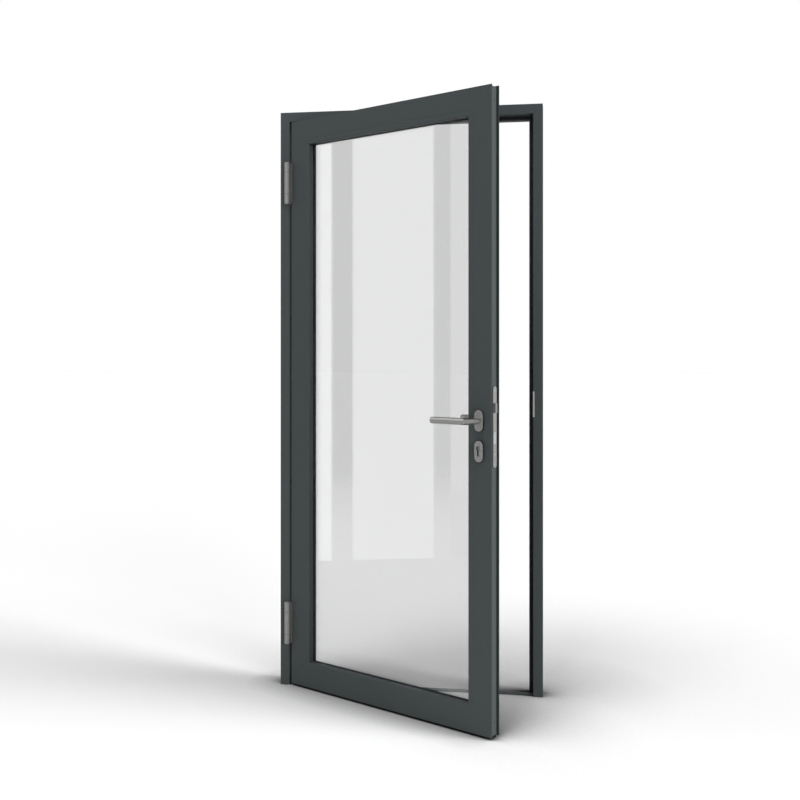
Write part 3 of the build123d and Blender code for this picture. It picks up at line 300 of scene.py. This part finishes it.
def moulding(name, colour, roughness, sheen, bloom=0.5, skin=0.5):
    """Rubber or plastic, with its share of surface reflection."""
    values = {"Colour": colour, "Bloom": bloom, "Roughness": roughness, "Skin": skin}
    material, nodes = dressed(name, MOULDED, values, 0.0)[:2]
    nodes["Principled BSDF"].inputs["Specular IOR Level"].default_value = sheen
    return material


def pane_glass(name, tint, shadow):
    """Float glass with faint draw waves; shadow and scattered rays go straight through, dimmed."""
    material, nodes, links = new_material(name)
    shader = nodes["Principled BSDF"]
    shader.inputs["Base Color"].default_value = (*tint, 1.0)
    shader.inputs["Roughness"].default_value = 0.0
    shader.inputs["IOR"].default_value = 1.5
    shader.inputs["Transmission Weight"].default_value = 1.0
    place = nodes.new("ShaderNodeTexCoord").outputs["Object"]
    wave = noise(nodes, links, place, 3.0, 1.0)
    bump = nodes.new("ShaderNodeBump")
    bump.inputs["Strength"].default_value = 0.02
    bump.inputs["Distance"].default_value = 0.1 * MM
    links.new(wave, bump.inputs["Height"])
    links.new(bump.outputs["Normal"], shader.inputs["Normal"])
    clear = nodes.new("ShaderNodeBsdfTransparent")
    clear.inputs["Color"].default_value = (*shadow, 1.0)
    path = nodes.new("ShaderNodeLightPath")
    shadow_ray, diffuse_ray = path.outputs["Is Shadow Ray"], path.outputs["Is Diffuse Ray"]
    dim = maths(nodes, links, "MAXIMUM", shadow_ray, diffuse_ray)
    mix = nodes.new("ShaderNodeMixShader")
    links.new(dim, mix.inputs["Fac"])
    links.new(shader.outputs["BSDF"], mix.inputs[1])
    links.new(clear.outputs["BSDF"], mix.inputs[2])
    links.new(mix.outputs["Shader"], nodes["Material Output"].inputs["Surface"])
    return material


ANTHRACITE = (0.042, 0.0515, 0.0535)
FINISHES = {
    "painted_profile": coat("anthracite_powder_coat", ANTHRACITE, 0.5),
    "black_rubber": moulding("epdm_rubber", (0.0085, 0.0092, 0.0094), 0.7, 0.3),
    "black_plastic": moulding("black_nylon", (0.010, 0.010, 0.0105), 0.45, 0.4, 0.3, 0.35),
    "spacer_black": moulding("warm_edge_spacer", (0.020, 0.022, 0.023), 0.5, 0.35, 0.4, 0.3),
    "hinge_steel": metal("satin_hinge_steel", (0.50, 0.495, 0.485), 0.58, "upright"),
    "stainless": metal("brushed_stainless", (0.56, 0.55, 0.53), 0.33, "upright"),
    "handle_aluminium": metal("satin_handle_metal", (0.50, 0.50, 0.49), 0.3, "across"),
    "zinc_steel": metal("zinc_plated_steel", (0.50, 0.53, 0.55), 0.42, "upright", 0.5, 0.3),
    "nickel_brass": metal("nickel_plated_brass", (0.76, 0.79, 0.84), 0.26, "upright", 0.12, 0.15),
    "clear_glass": pane_glass("float_glass", (0.83, 0.833, 0.832), (0.3, 0.3, 0.3)),
}
PLATED_SCREW = metal("bright_zinc_screw", (0.74, 0.78, 0.86), 0.3, "upright", 0.2, 0.3)
# Painted shade: the cylinder and its plugs get a darker copy of the plated metal, standing in for the shade in
# their recess.
RECESS_SHADED_CYLINDER_METAL = metal("cylinder_metal_darkened_for_recess_shade", (0.46, 0.46, 0.465), 0.34, "upright", 0.12, 0.15)
OWN_FINISHES = {
    "latch_bolt": metal("die_cast_latch", (0.45, 0.47, 0.51), 0.34, "upright", 0.25, 0.3),
    "cylinder_body": RECESS_SHADED_CYLINDER_METAL,
    "pull_plug": RECESS_SHADED_CYLINDER_METAL,
    "push_plug": RECESS_SHADED_CYLINDER_METAL,
    "edge_gasket": moulding("leaf_edge_rubber", (0.0145, 0.0175, 0.0185), 0.65, 0.3),
    "frame_gasket": moulding("stop_rubber", (0.014, 0.0145, 0.0145), 0.65, 0.4),
    # Painted light: both glazing rubbers are the plain rubber made lighter, the front one most, to make up for the
    # shade they sit in.
    "bead_gasket": moulding("glazing_rubber", (0.058, 0.064, 0.066), 0.65, 0.4),
    "rear_glazing_gasket": moulding("rear_glazing_rubber", (0.022, 0.025, 0.026), 0.65, 0.4),
    "leaf_corner_pins": moulding("dark_corner_pin", (0.020, 0.024, 0.026), 0.5, 0.4, 0.3, 0.3),
}

slot_of = {part["node"]: part["material_slot"] for part in frame["record"]["subparts"]}
for node, cad in frame["nodes"].items():
    cad.data.materials.clear()
    cad.data.materials.append(OWN_FINISHES.get(node, FINISHES[slot_of[node]]))


# ---- mesh helpers ----
def finished(name, build, place, slot, body, replaces=(), material=None):
    """Puts a built mesh in its place as one smooth-shaded piece that rides on its body."""
    bmesh.ops.remove_doubles(build, verts=build.verts, dist=PIECE_WELD)
    bmesh.ops.recalc_face_normals(build, faces=build.faces)
    bmesh.ops.transform(build, matrix=place, verts=build.verts)
    for face in build.faces:
        face.smooth = True
    for edge in build.edges:
        edge.smooth = len(edge.link_faces) == 2 and edge.calc_face_angle(0.0) < SOFT_EDGE
    mesh = bpy.data.meshes.new(name)
    build.to_mesh(mesh)
    build.free()
    mesh.materials.append(material or FINISHES[slot])
    piece = bpy.data.objects.new(name, mesh)
    scene.collection.objects.link(piece)
    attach(piece, body)
    if replaces:
        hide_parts(*replaces)


def new_edges(made):
    """The edges among what an operator has just made."""
    return [item for item in made["geom"] if isinstance(item, bmesh.types.BMEdge)]


def turned(build, place, rings, segments):
    """A turned shape along z, from rings of (radius, z) in millimetres.

    A lobed ring adds the number of lobes and the share of the radius lost between them.
    """
    made = bmesh.ops.create_circle(build, cap_ends=False, segments=segments, radius=1.0)
    loop = made["verts"]
    angles = [math.atan2(vertex.co.y, vertex.co.x) for vertex in loop]
    every = []
    first = None
    edges = list({edge for vertex in loop for edge in vertex.link_edges})
    for number, (radius, z, *lobed) in enumerate(rings):
        if number:
            grown = bmesh.ops.extrude_edge_only(build, edges=edges)
            edges = new_edges(grown)
            edges = [edge for edge in edges if all(vertex not in loop for vertex in edge.verts)]
            ordered = []
            for vertex in loop:
                ordered += [
                    edge.other_vert(vertex)
                    for edge in vertex.link_edges
                    if edge.other_vert(vertex) not in loop and edge.other_vert(vertex) not in every
                ]
            loop = ordered
        for vertex, angle in zip(loop, angles):
            reach = radius
            if lobed:
                lobes, loss = lobed
                reach *= 1.0 - loss * (1.0 - math.cos(lobes * angle)) / 2.0
            vertex.co = (reach * math.cos(angle) * MM, reach * math.sin(angle) * MM, z * MM)
        every += loop
        first = first or edges
    bmesh.ops.contextual_create(build, geom=first)
    bmesh.ops.contextual_create(build, geom=edges)
    bmesh.ops.transform(build, matrix=place, verts=every)
    return every


def strip(build, corners, profile, closed):
    """Runs a closed profile of (inward, depth) points along mitred corners.

    A corner is its x and z and the sense in which inward runs along each.
    """
    x, z, into_x, into_z = corners[0]
    loop = [build.verts.new((x + into_x * w, y, z + into_z * w)) for w, y in profile]
    edges = [build.edges.new((a, b)) for a, b in zip(loop, loop[1:] + loop[:1])]
    first = edges
    before = set(loop)
    for x, z, into_x, into_z in corners[1:]:
        grown = bmesh.ops.extrude_edge_only(build, edges=edges)
        ahead = []
        for vertex in loop:
            ahead += [
                edge.other_vert(vertex)
                for edge in vertex.link_edges
                if edge.other_vert(vertex) not in before
            ]
        for vertex, (w, y) in zip(ahead, profile):
            vertex.co = (x + into_x * w, y, z + into_z * w)
        edges = [edge for edge in new_edges(grown) if all(vertex in ahead for vertex in edge.verts)]
        before |= set(ahead)
        loop = ahead
    if closed:
        bmesh.ops.bridge_loops(build, edges=first + edges)
    else:
        bmesh.ops.contextual_create(build, geom=first)
        bmesh.ops.contextual_create(build, geom=edges)


def ring_corners(low, high, closed):
    """Corners of a rectangular strip in the plane of width and height, from its outer box."""
    bottom = 1.0 if closed else 0.0
    return [
        (low.x, low.z, 1.0, bottom),
        (low.x, high.z, 1.0, -1.0),
        (high.x, high.z, -1.0, -1.0),
        (high.x, low.z, -1.0, bottom),
    ]


def scaled_profile(points, width, low, high):
    """Profile points given as shares of the strip's width and of its depth."""
    return [(w * width, low + y * (high - low)) for w, y in points]


# ---- gaskets ----
def gasket(name, node, place, body, width, points, closed):
    """A moulded gasket in the space of its plain CAD strip."""
    low, high = whole_box(node, place)
    build = bmesh.new()
    profile = scaled_profile(points, width, low.y, high.y)
    strip(build, ring_corners(low, high, closed), profile, closed)
    finished(name, build, place, "black_rubber", body, (node,), OWN_FINISHES.get(node))


# Sections of the gaskets: shares of the strip's width, inward, and of its depth, to the back.
STOP_BULB = (
    (0.0, 1.0),
    (0.0, 0.72),
    (0.10, 0.62),
    (0.16, 0.34),
    (0.28, 0.12),
    (0.45, 0.0),
    (0.62, 0.05),
    (0.76, 0.22),
    (0.84, 0.46),
    (0.90, 0.68),
    (1.0, 0.76),
    (1.0, 1.0),
)
EDGE_LIP = (
    (1.0, 0.0),
    (0.25, 0.0),
    (0.23, 0.04),
    (0.22, 0.22),
    (0.12, 0.34),
    (0.02, 0.52),
    (0.0, 0.70),
    (0.0, 0.95),
    (0.04, 1.0),
    (0.60, 1.0),
    (0.72, 0.94),
    (0.86, 0.82),
    (1.0, 0.77),
)
GLAZING_LIP = (
    (0.0, 0.0),
    (0.90, 0.0),
    (0.97, 0.10),
    (1.0, 0.35),
    (0.98, 0.75),
    (0.94, 1.0),
    (0.80, 1.0),
    (0.72, 0.86),
    (0.60, 0.86),
    (0.55, 1.0),
    (0.30, 1.0),
    (0.24, 0.84),
    (0.12, 0.84),
    (0.08, 1.0),
    (0.0, 1.0),
)
REAR_LIP = tuple((w, 1.0 - y) for w, y in reversed(GLAZING_LIP))

STOP_BULB_WIDTH = 8.0 * MM
EDGE_LIP_WIDTH = 5.2 * MM
GLAZING_LIP_WIDTH = 12.0 * MM

gasket("stop_gasket_bulb", "frame_gasket", FRAME, "frame", STOP_BULB_WIDTH, STOP_BULB, False)
gasket("leaf_edge_lip", "edge_gasket", LEAF, "leaf", EDGE_LIP_WIDTH, EDGE_LIP, False)
gasket("bead_gasket_lip", "bead_gasket", LEAF, "leaf", GLAZING_LIP_WIDTH, GLAZING_LIP, True)
gasket("rear_gasket_lip", "rear_glazing_gasket", LEAF, "leaf", GLAZING_LIP_WIDTH, REAR_LIP, True)

# Shares of the seal's depth and height: the blades' middles, and a blade's half widths from its
# root down to its tip.
BLADE_MIDDLES = (0.07, 0.5, 0.93)
BLADE_STEPS = ((0.07, 0.55), (0.035, 0.3), (0.02, 0.0))
CARRIER_BOTTOM = 0.62


def bottom_blades():
    """Threshold seal: a carrier with three blades that thin toward their tips."""
    low, high = whole_box("bottom_seal", LEAF)
    depth, height = high.y - low.y, high.z - low.z
    section = [(0.0, 1.0), (0.0, CARRIER_BOTTOM)]
    for middle in BLADE_MIDDLES:
        section += [(max(middle - half, 0.0), z) for half, z in BLADE_STEPS]
        section += [(min(middle + half, 1.0), z) for half, z in reversed(BLADE_STEPS)]
    section += [(1.0, CARRIER_BOTTOM), (1.0, 1.0)]
    build = bmesh.new()
    loop = [build.verts.new((low.x, low.y + y * depth, low.z + z * height)) for y, z in section]
    face = build.faces.new(loop)
    grown = bmesh.ops.extrude_face_region(build, geom=[face])
    moved = [item for item in grown["geom"] if isinstance(item, bmesh.types.BMVert)]
    bmesh.ops.translate(build, verts=moved, vec=(high.x - low.x, 0.0, 0.0))
    finished("threshold_seal_blades", build, LEAF, "black_rubber", "leaf", ("bottom_seal",))


bottom_blades()


# ---- screws and caps ----
OUT_OF_EDGE = (1.0, 0.0, 0.0)
INTO_DOORWAY = (-1.0, 0.0, 0.0)
UPWARD = (0.0, 0.0, 1.0)
DOWNWARD = (0.0, 0.0, -1.0)
# Head radius, shank radius, length and socket radius, in millimetres.
LOCK_SCREW = (4.4, 2.5, 14.0, 2.1)
CYLINDER_SCREW = (4.4, 2.5, 47.0, 2.1)
HINGE_SCREW = (5.5, 3.0, 12.0, 2.6)
THRESHOLD_SCREW = (5.3, 2.6, 3.8, 2.4)
# Lobes and the share of the radius lost between them.
SOCKET_LOBES = (6, 0.26)
SOCKET_RIM_LOBES = (6, 0.22)
HEXAGON = (6, 0.14)
SCREW_SEGMENTS = 36
CAP_SEGMENTS = 32


def aimed(spot, outward):
    """Places a turned shape's top at a spot, with its axis out of the surface."""
    turn = Vector(outward).to_track_quat("Z", "Y").to_matrix().to_4x4()
    return Matrix.Translation(spot) @ turn


def screw(build, place, head, shank, length, socket):
    """A countersunk screw with a six-lobed recess in its slightly crowned head."""
    depth = 0.55 * head
    turned(
        build,
        place,
        (
            (0.62 * socket, -depth, *SOCKET_LOBES),
            (socket, -0.75 * depth, *SOCKET_LOBES),
            (socket, -0.12, *SOCKET_LOBES),
            (1.12 * socket, 0.0, *SOCKET_RIM_LOBES),
            (head - 0.25, -0.02),
            (head, -0.22),
            (shank, -(head - shank) - 0.22),
            (shank, -length + 1.5),
            (0.35 * shank, -length),
        ),
        SCREW_SEGMENTS,
    )


def screw_set(name, node, place, outward, body, sizes, slot, material=None):
    """Detailed screws in the places of one CAD node's plain ones."""
    build = bmesh.new()
    for low, high in solid_boxes(node, place):
        middle = (low + high) / 2.0
        axis = max(range(3), key=lambda k: abs(outward[k]))
        middle[axis] = high[axis] if outward[axis] > 0 else low[axis]
        screw(build, aimed(middle, outward), *sizes)
    finished(name, build, place, slot, body, (node,), material)


for name, node, place, outward, body, sizes in (
    ("faceplate_fixings", "faceplate_screws", LEAF, OUT_OF_EDGE, "leaf", LOCK_SCREW),
    ("cylinder_fixing", "cylinder_screw", LEAF, OUT_OF_EDGE, "leaf", CYLINDER_SCREW),
    ("strike_fixings", "strike_screws", FRAME, INTO_DOORWAY, "frame", LOCK_SCREW),
):
    screw_set(name, node, place, outward, body, sizes, "stainless", PLATED_SCREW)
for name, node, place, outward, body in (
    ("hinge_frame_fixings", "hinge_frame_screws", FRAME, OUT_OF_EDGE, "frame"),
    ("hinge_leaf_fixings", "hinge_leaf_screws", LEAF, INTO_DOORWAY, "leaf"),
):
    screw_set(name, node, place, outward, body, HINGE_SCREW, "hinge_steel")

# Distances in metres between the holes of a pair, and how far the heads lie below the
# threshold's top.
THRESHOLD_SPANS = (0.75, 0.25)
HEAD_SINK = 0.15 * MM


def threshold_fixings():
    """Short countersunk heads in the four holes of the threshold."""
    low, high = whole_box("threshold", FRAME)
    middle = (low + high) / 2.0
    build = bmesh.new()
    for span in THRESHOLD_SPANS:
        for side in (-1.0, 1.0):
            spot = (middle.x + side * span / 2.0, middle.y, high.z - HEAD_SINK)
            screw(build, aimed(spot, UPWARD), *THRESHOLD_SCREW)
    finished("threshold_fixings", build, FRAME, "painted_profile", "frame")


threshold_fixings()


CAP_HEIGHT = 0.8 * MM
CAP_RINGS = (
    (2.0, 0.78),
    (5.5, 0.70),
    (7.4, 0.52),
    (7.8, 0.38),
    (8.2, 0.50),
    (9.2, 0.55),
    (9.8, 0.40),
    (10.0, 0.15),
    (10.0, 0.0),
    (7.9, 0.0),
    (7.7, -5.0),
    (5.9, -5.0),
    (5.9, -1.0),
)


def domed_caps():
    """Snap-in covers over the wall fixings: a shallow dome with a groove inside its rim."""
    build = bmesh.new()
    low, high = whole_box("fixing_caps", FRAME)
    middle = (low.x + high.x) / 2.0
    for box_low, box_high in solid_boxes("fixing_caps", FRAME):
        spot = (box_low + box_high) / 2.0
        inward = 1.0 if spot.x < middle else -1.0
        face = box_high.x if inward > 0 else box_low.x
        spot.x = face - inward * CAP_HEIGHT
        turned(build, aimed(spot, (inward, 0.0, 0.0)), CAP_RINGS, CAP_SEGMENTS)
    finished("domed_fixing_caps", build, FRAME, "black_plastic", "frame", ("fixing_caps",))


domed_caps()


def grub_screws():
    """Hexagon socket set screws under both lever necks."""
    build = bmesh.new()
    for low, high in solid_boxes("lever_grub_screws", LEAF):
        spot = (low + high) / 2.0
        spot.z = low.z
        radius = (high.x - low.x) / MM / 2.0 - 0.05
        length = (high.z - low.z) / MM
        turned(
            build,
            aimed(spot, DOWNWARD),
            (
                (1.1, -2.4, *HEXAGON),
                (1.4, -2.2, *HEXAGON),
                (1.4, -0.1, *HEXAGON),
                (radius - 0.3, 0.0),
                (radius, -0.35),
                (radius, -length + 0.6),
                (radius - 0.7, -length),
            ),
            SCREW_SEGMENTS,
        )
    finished("lever_set_screws", build, LEAF, "stainless", "handle", ("lever_grub_screws",))


grub_screws()


# ---- studio ----
world = bpy.data.worlds.new("studio")
scene.world = world
world.use_nodes = True
world.cycles.sampling_method = "NONE"


def direction(azimuth, elevation):
    """Unit vector: azimuth from +X toward +Y and elevation from the floor, in degrees."""
    around, up = math.radians(azimuth), math.radians(elevation)
    return Vector((math.cos(around) * math.cos(up), math.sin(around) * math.cos(up), math.sin(up)))


# Soft patches of the room that satin surfaces mirror: azimuth, elevation and radius in degrees,
# and strength.
ROOM_PATCHES = (
    (168.0, 60.0, 62.0, 0.75),
    (250.0, 5.0, 50.0, 0.45),
    (22.0, 10.0, 50.0, 0.42),
)
# The room's plain brightness, as satin surfaces and as the panes mirror it.
ROOM_LEVEL = 0.3
PANE_LEVEL = 0.14


def studio_world():
    """White to the eye and through the glass, dark to scattered light, dim to what mirrors it."""
    nodes, links = world.node_tree.nodes, world.node_tree.links
    path = nodes.new("ShaderNodeLightPath")
    toward = nodes.new("ShaderNodeTexCoord").outputs["Generated"]
    satin = ROOM_LEVEL
    for azimuth, elevation, radius, strength in ROOM_PATCHES:
        facing = nodes.new("ShaderNodeVectorMath")
        facing.operation = "DOT_PRODUCT"
        facing.inputs[1].default_value = direction(azimuth, elevation)
        links.new(toward, facing.inputs[0])
        patch = nodes.new("ShaderNodeMapRange")
        patch.interpolation_type = "SMOOTHSTEP"
        patch.inputs["From Min"].default_value = math.cos(math.radians(radius))
        patch.inputs["From Max"].default_value = 1.0
        patch.inputs["To Max"].default_value = strength
        links.new(facing.outputs["Value"], patch.inputs["Value"])
        satin = maths(nodes, links, "ADD", patch.outputs["Result"], satin)
    sharp = path.outputs["Is Singular Ray"]
    mirrored = maths(nodes, links, "GREATER_THAN", path.outputs["Glossy Depth"], ANY_BOUNCE)
    scattered = maths(nodes, links, "GREATER_THAN", path.outputs["Diffuse Depth"], ANY_BOUNCE)
    unscattered = maths(nodes, links, "SUBTRACT", 1.0, scattered)
    either = maths(nodes, links, "MAXIMUM", mirrored, scattered)
    direct = maths(nodes, links, "SUBTRACT", 1.0, either)
    not_sharp = maths(nodes, links, "SUBTRACT", 1.0, sharp)
    in_satin = maths(nodes, links, "MULTIPLY", satin, not_sharp)
    in_glass = maths(nodes, links, "MULTIPLY", sharp, PANE_LEVEL)
    level = maths(nodes, links, "ADD", in_satin, in_glass)
    level = maths(nodes, links, "MULTIPLY", level, mirrored)
    level = maths(nodes, links, "MULTIPLY", level, unscattered)
    room = nodes["Background"]
    room.inputs["Color"].default_value = (1.0, 1.0, 1.0, 1.0)
    links.new(maths(nodes, links, "ADD", direct, level), room.inputs["Strength"])


studio_world()


def soft_sun(name, azimuth, elevation, spread, strength):
    """Distant soft light that no surface mirrors; strength is what it adds to a level floor."""
    data = bpy.data.lights.new(name, "SUN")
    data.angle = math.radians(spread)
    data.energy = math.pi * strength / math.sin(math.radians(elevation))
    light = bpy.data.objects.new(name, data)
    light.rotation_euler = direction(azimuth, elevation).to_track_quat("Z", "Y").to_euler()
    light.visible_glossy = False
    # Without this the sun's disc would show through the panes.
    data.cycles.use_multiple_importance_sampling = False
    scene.collection.objects.link(light)


# Azimuth, elevation and spread in degrees, and strength.
SUNS = (
    ("right_key", 345, 36, 20, 0.37),
    ("right_fill", 312, 20, 30, 0.13),
    ("right_low", 360, 8, 14, 0.095),
    ("left_key", 240, 60, 24, 0.37),
    ("left_back", 205, 56, 26, 0.12),
)
for name, azimuth, elevation, spread, strength in SUNS:
    soft_sun(name, azimuth, elevation, spread, strength)


def panel(name, start, end, height, strength):
    """Upright light panel between two points on the floor, seen only where the panes mirror it."""
    build = bmesh.new()
    edge = build.edges.new((build.verts.new((*start, 0.0)), build.verts.new((*end, 0.0))))
    grown = bmesh.ops.extrude_edge_only(build, edges=[edge])
    moved = [item for item in grown["geom"] if isinstance(item, bmesh.types.BMVert)]
    bmesh.ops.translate(build, verts=moved, vec=(0.0, 0.0, height))
    mesh = bpy.data.meshes.new(name)
    build.to_mesh(mesh)
    build.free()
    material, nodes, links = new_material(name)
    nodes.remove(nodes["Principled BSDF"])
    light = nodes.new("ShaderNodeEmission")
    light.inputs["Strength"].default_value = strength
    nothing = nodes.new("ShaderNodeBsdfTransparent")
    path = nodes.new("ShaderNodeLightPath")
    mirrored = maths(nodes, links, "GREATER_THAN", path.outputs["Glossy Depth"], ANY_BOUNCE)
    mirrored = maths(nodes, links, "MULTIPLY", mirrored, path.outputs["Is Singular Ray"])
    mix = nodes.new("ShaderNodeMixShader")
    links.new(mirrored, mix.inputs["Fac"])
    links.new(nothing.outputs["BSDF"], mix.inputs[1])
    links.new(light.outputs["Emission"], mix.inputs[2])
    links.new(mix.outputs["Shader"], nodes["Material Output"].inputs["Surface"])
    mesh.materials.append(material)
    stand = bpy.data.objects.new(name, mesh)
    scene.collection.objects.link(stand)


PANEL_HEIGHT = 3.2
panel("window_light_far", (-2.80, -0.33), (-2.665, -0.849), PANEL_HEIGHT, 2.08)
panel("window_light_middle", (-2.63, -0.973), (-2.505, -1.46), PANEL_HEIGHT, 1.65)
panel("window_light_near", (-2.479, -1.563), (-2.35, -2.07), PANEL_HEIGHT, 0.88)

FLOOR_TONE = 0.93
SATIN_FLOOR_TONE = 0.5
FLOOR_HALF_SIDE = 60.0
# Distances in metres from the origin over which the floor fades in what mirrors it.
FADE_START = 3.0
FADE_END = 9.0
# Painted shade: extra darkening put into the floor's colour where something stands close on one side: that side,
# the reach in metres and the strength.
PAINTED_CONTACT_SHADES = ((direction(225, 46), 0.5, 1.6), (direction(335, 40), 0.14, 0.9))
CONTACT_SAMPLES = 8
# The painted shade stops this many metres from the origin, short of the light panels, and loses this share of
# itself behind the glass.
CONTACT_LIMIT = 1.8
CONTACT_LOSS_BEHIND_GLASS = 0.7


def fading_floor():
    """Matt white floor with painted shade in its colour beside the object, dimmed where satin surfaces mirror it.

    In all that mirrors it, it fades with distance.
    """
    material, nodes, links = new_material("pale_floor")
    shader = nodes["Principled BSDF"]
    path = nodes.new("ShaderNodeLightPath")
    mirrored = maths(nodes, links, "GREATER_THAN", path.outputs["Glossy Depth"], ANY_BOUNCE)
    satin = maths(nodes, links, "SUBTRACT", mirrored, path.outputs["Is Singular Ray"])
    satin = maths(nodes, links, "MAXIMUM", satin, 0.0)
    tone = maths(nodes, links, "MULTIPLY_ADD", satin, SATIN_FLOOR_TONE - FLOOR_TONE, FLOOR_TONE)
    share = maths(nodes, links, "LESS_THAN", path.outputs["Diffuse Depth"], ANY_BOUNCE)
    behind = maths(nodes, links, "GREATER_THAN", path.outputs["Transmission Depth"], ANY_BOUNCE)
    share = maths(nodes, links, "MULTIPLY_ADD", behind, -CONTACT_LOSS_BEHIND_GLASS, share)
    share = maths(nodes, links, "MAXIMUM", share, 0.0)
    reach = nodes.new("ShaderNodeVectorMath")
    reach.operation = "LENGTH"
    links.new(nodes.new("ShaderNodeTexCoord").outputs["Object"], reach.inputs[0])
    near = maths(nodes, links, "LESS_THAN", reach.outputs["Value"], CONTACT_LIMIT)
    share = maths(nodes, links, "MULTIPLY", share, near)
    # Painted shade: ambient occlusion darkens the floor's own colour.
    for side, distance, strength in PAINTED_CONTACT_SHADES:
        toward = nodes.new("ShaderNodeCombineXYZ")
        for socket, value in zip(toward.inputs, side):
            socket.default_value = value
        openness = nodes.new("ShaderNodeAmbientOcclusion")
        openness.samples = CONTACT_SAMPLES
        openness.inputs["Distance"].default_value = distance
        links.new(toward.outputs["Vector"], openness.inputs["Normal"])
        power = maths(nodes, links, "MULTIPLY", share, strength)
        contact = maths(nodes, links, "POWER", openness.outputs["AO"], power)
        tone = maths(nodes, links, "MULTIPLY", tone, contact)
    links.new(tone, shader.inputs["Base Color"])
    shader.inputs["Roughness"].default_value = 1.0
    shader.inputs["Specular IOR Level"].default_value = 0.0
    fade = nodes.new("ShaderNodeMapRange")
    fade.interpolation_type = "SMOOTHSTEP"
    fade.inputs["From Min"].default_value = FADE_START
    fade.inputs["From Max"].default_value = FADE_END
    links.new(reach.outputs["Value"], fade.inputs["Value"])
    nothing = nodes.new("ShaderNodeBsdfTransparent")
    mix = nodes.new("ShaderNodeMixShader")
    faded = maths(nodes, links, "MULTIPLY", fade.outputs["Result"], mirrored)
    links.new(faded, mix.inputs["Fac"])
    links.new(shader.outputs["BSDF"], mix.inputs[1])
    links.new(nothing.outputs["BSDF"], mix.inputs[2])
    links.new(mix.outputs["Shader"], nodes["Material Output"].inputs["Surface"])
    build = bmesh.new()
    bmesh.ops.create_grid(build, x_segments=1, y_segments=1, size=FLOOR_HALF_SIDE)
    mesh = bpy.data.meshes.new("studio_floor")
    build.to_mesh(mesh)
    build.free()
    mesh.materials.append(material)
    floor = bpy.data.objects.new("studio_floor", mesh)
    scene.collection.objects.link(floor)


fading_floor()

# Sensor and lens in millimetres; the camera is level, turned and shifted to frame the door.
SENSOR_WIDTH = 36.0
LENS = 46.9
DOWNWARD_SHIFT = -0.0601
FAR_CLIP = 200.0
CAMERA_SPOT = (0.5734, -3.9218, 1.2797)
CAMERA_LEVEL = math.radians(90.0)
CAMERA_TURN = math.radians(8.878)
camera_data = bpy.data.cameras.new("studio_camera")
camera_data.sensor_width = SENSOR_WIDTH
camera_data.lens = LENS
camera_data.shift_y = DOWNWARD_SHIFT
camera_data.clip_end = FAR_CLIP
camera = bpy.data.objects.new("studio_camera", camera_data)
camera.location = CAMERA_SPOT
camera.rotation_euler = (CAMERA_LEVEL, 0.0, CAMERA_TURN)
scene.collection.objects.link(camera)
scene.camera = camera
scene.view_settings.view_transform = "Standard"
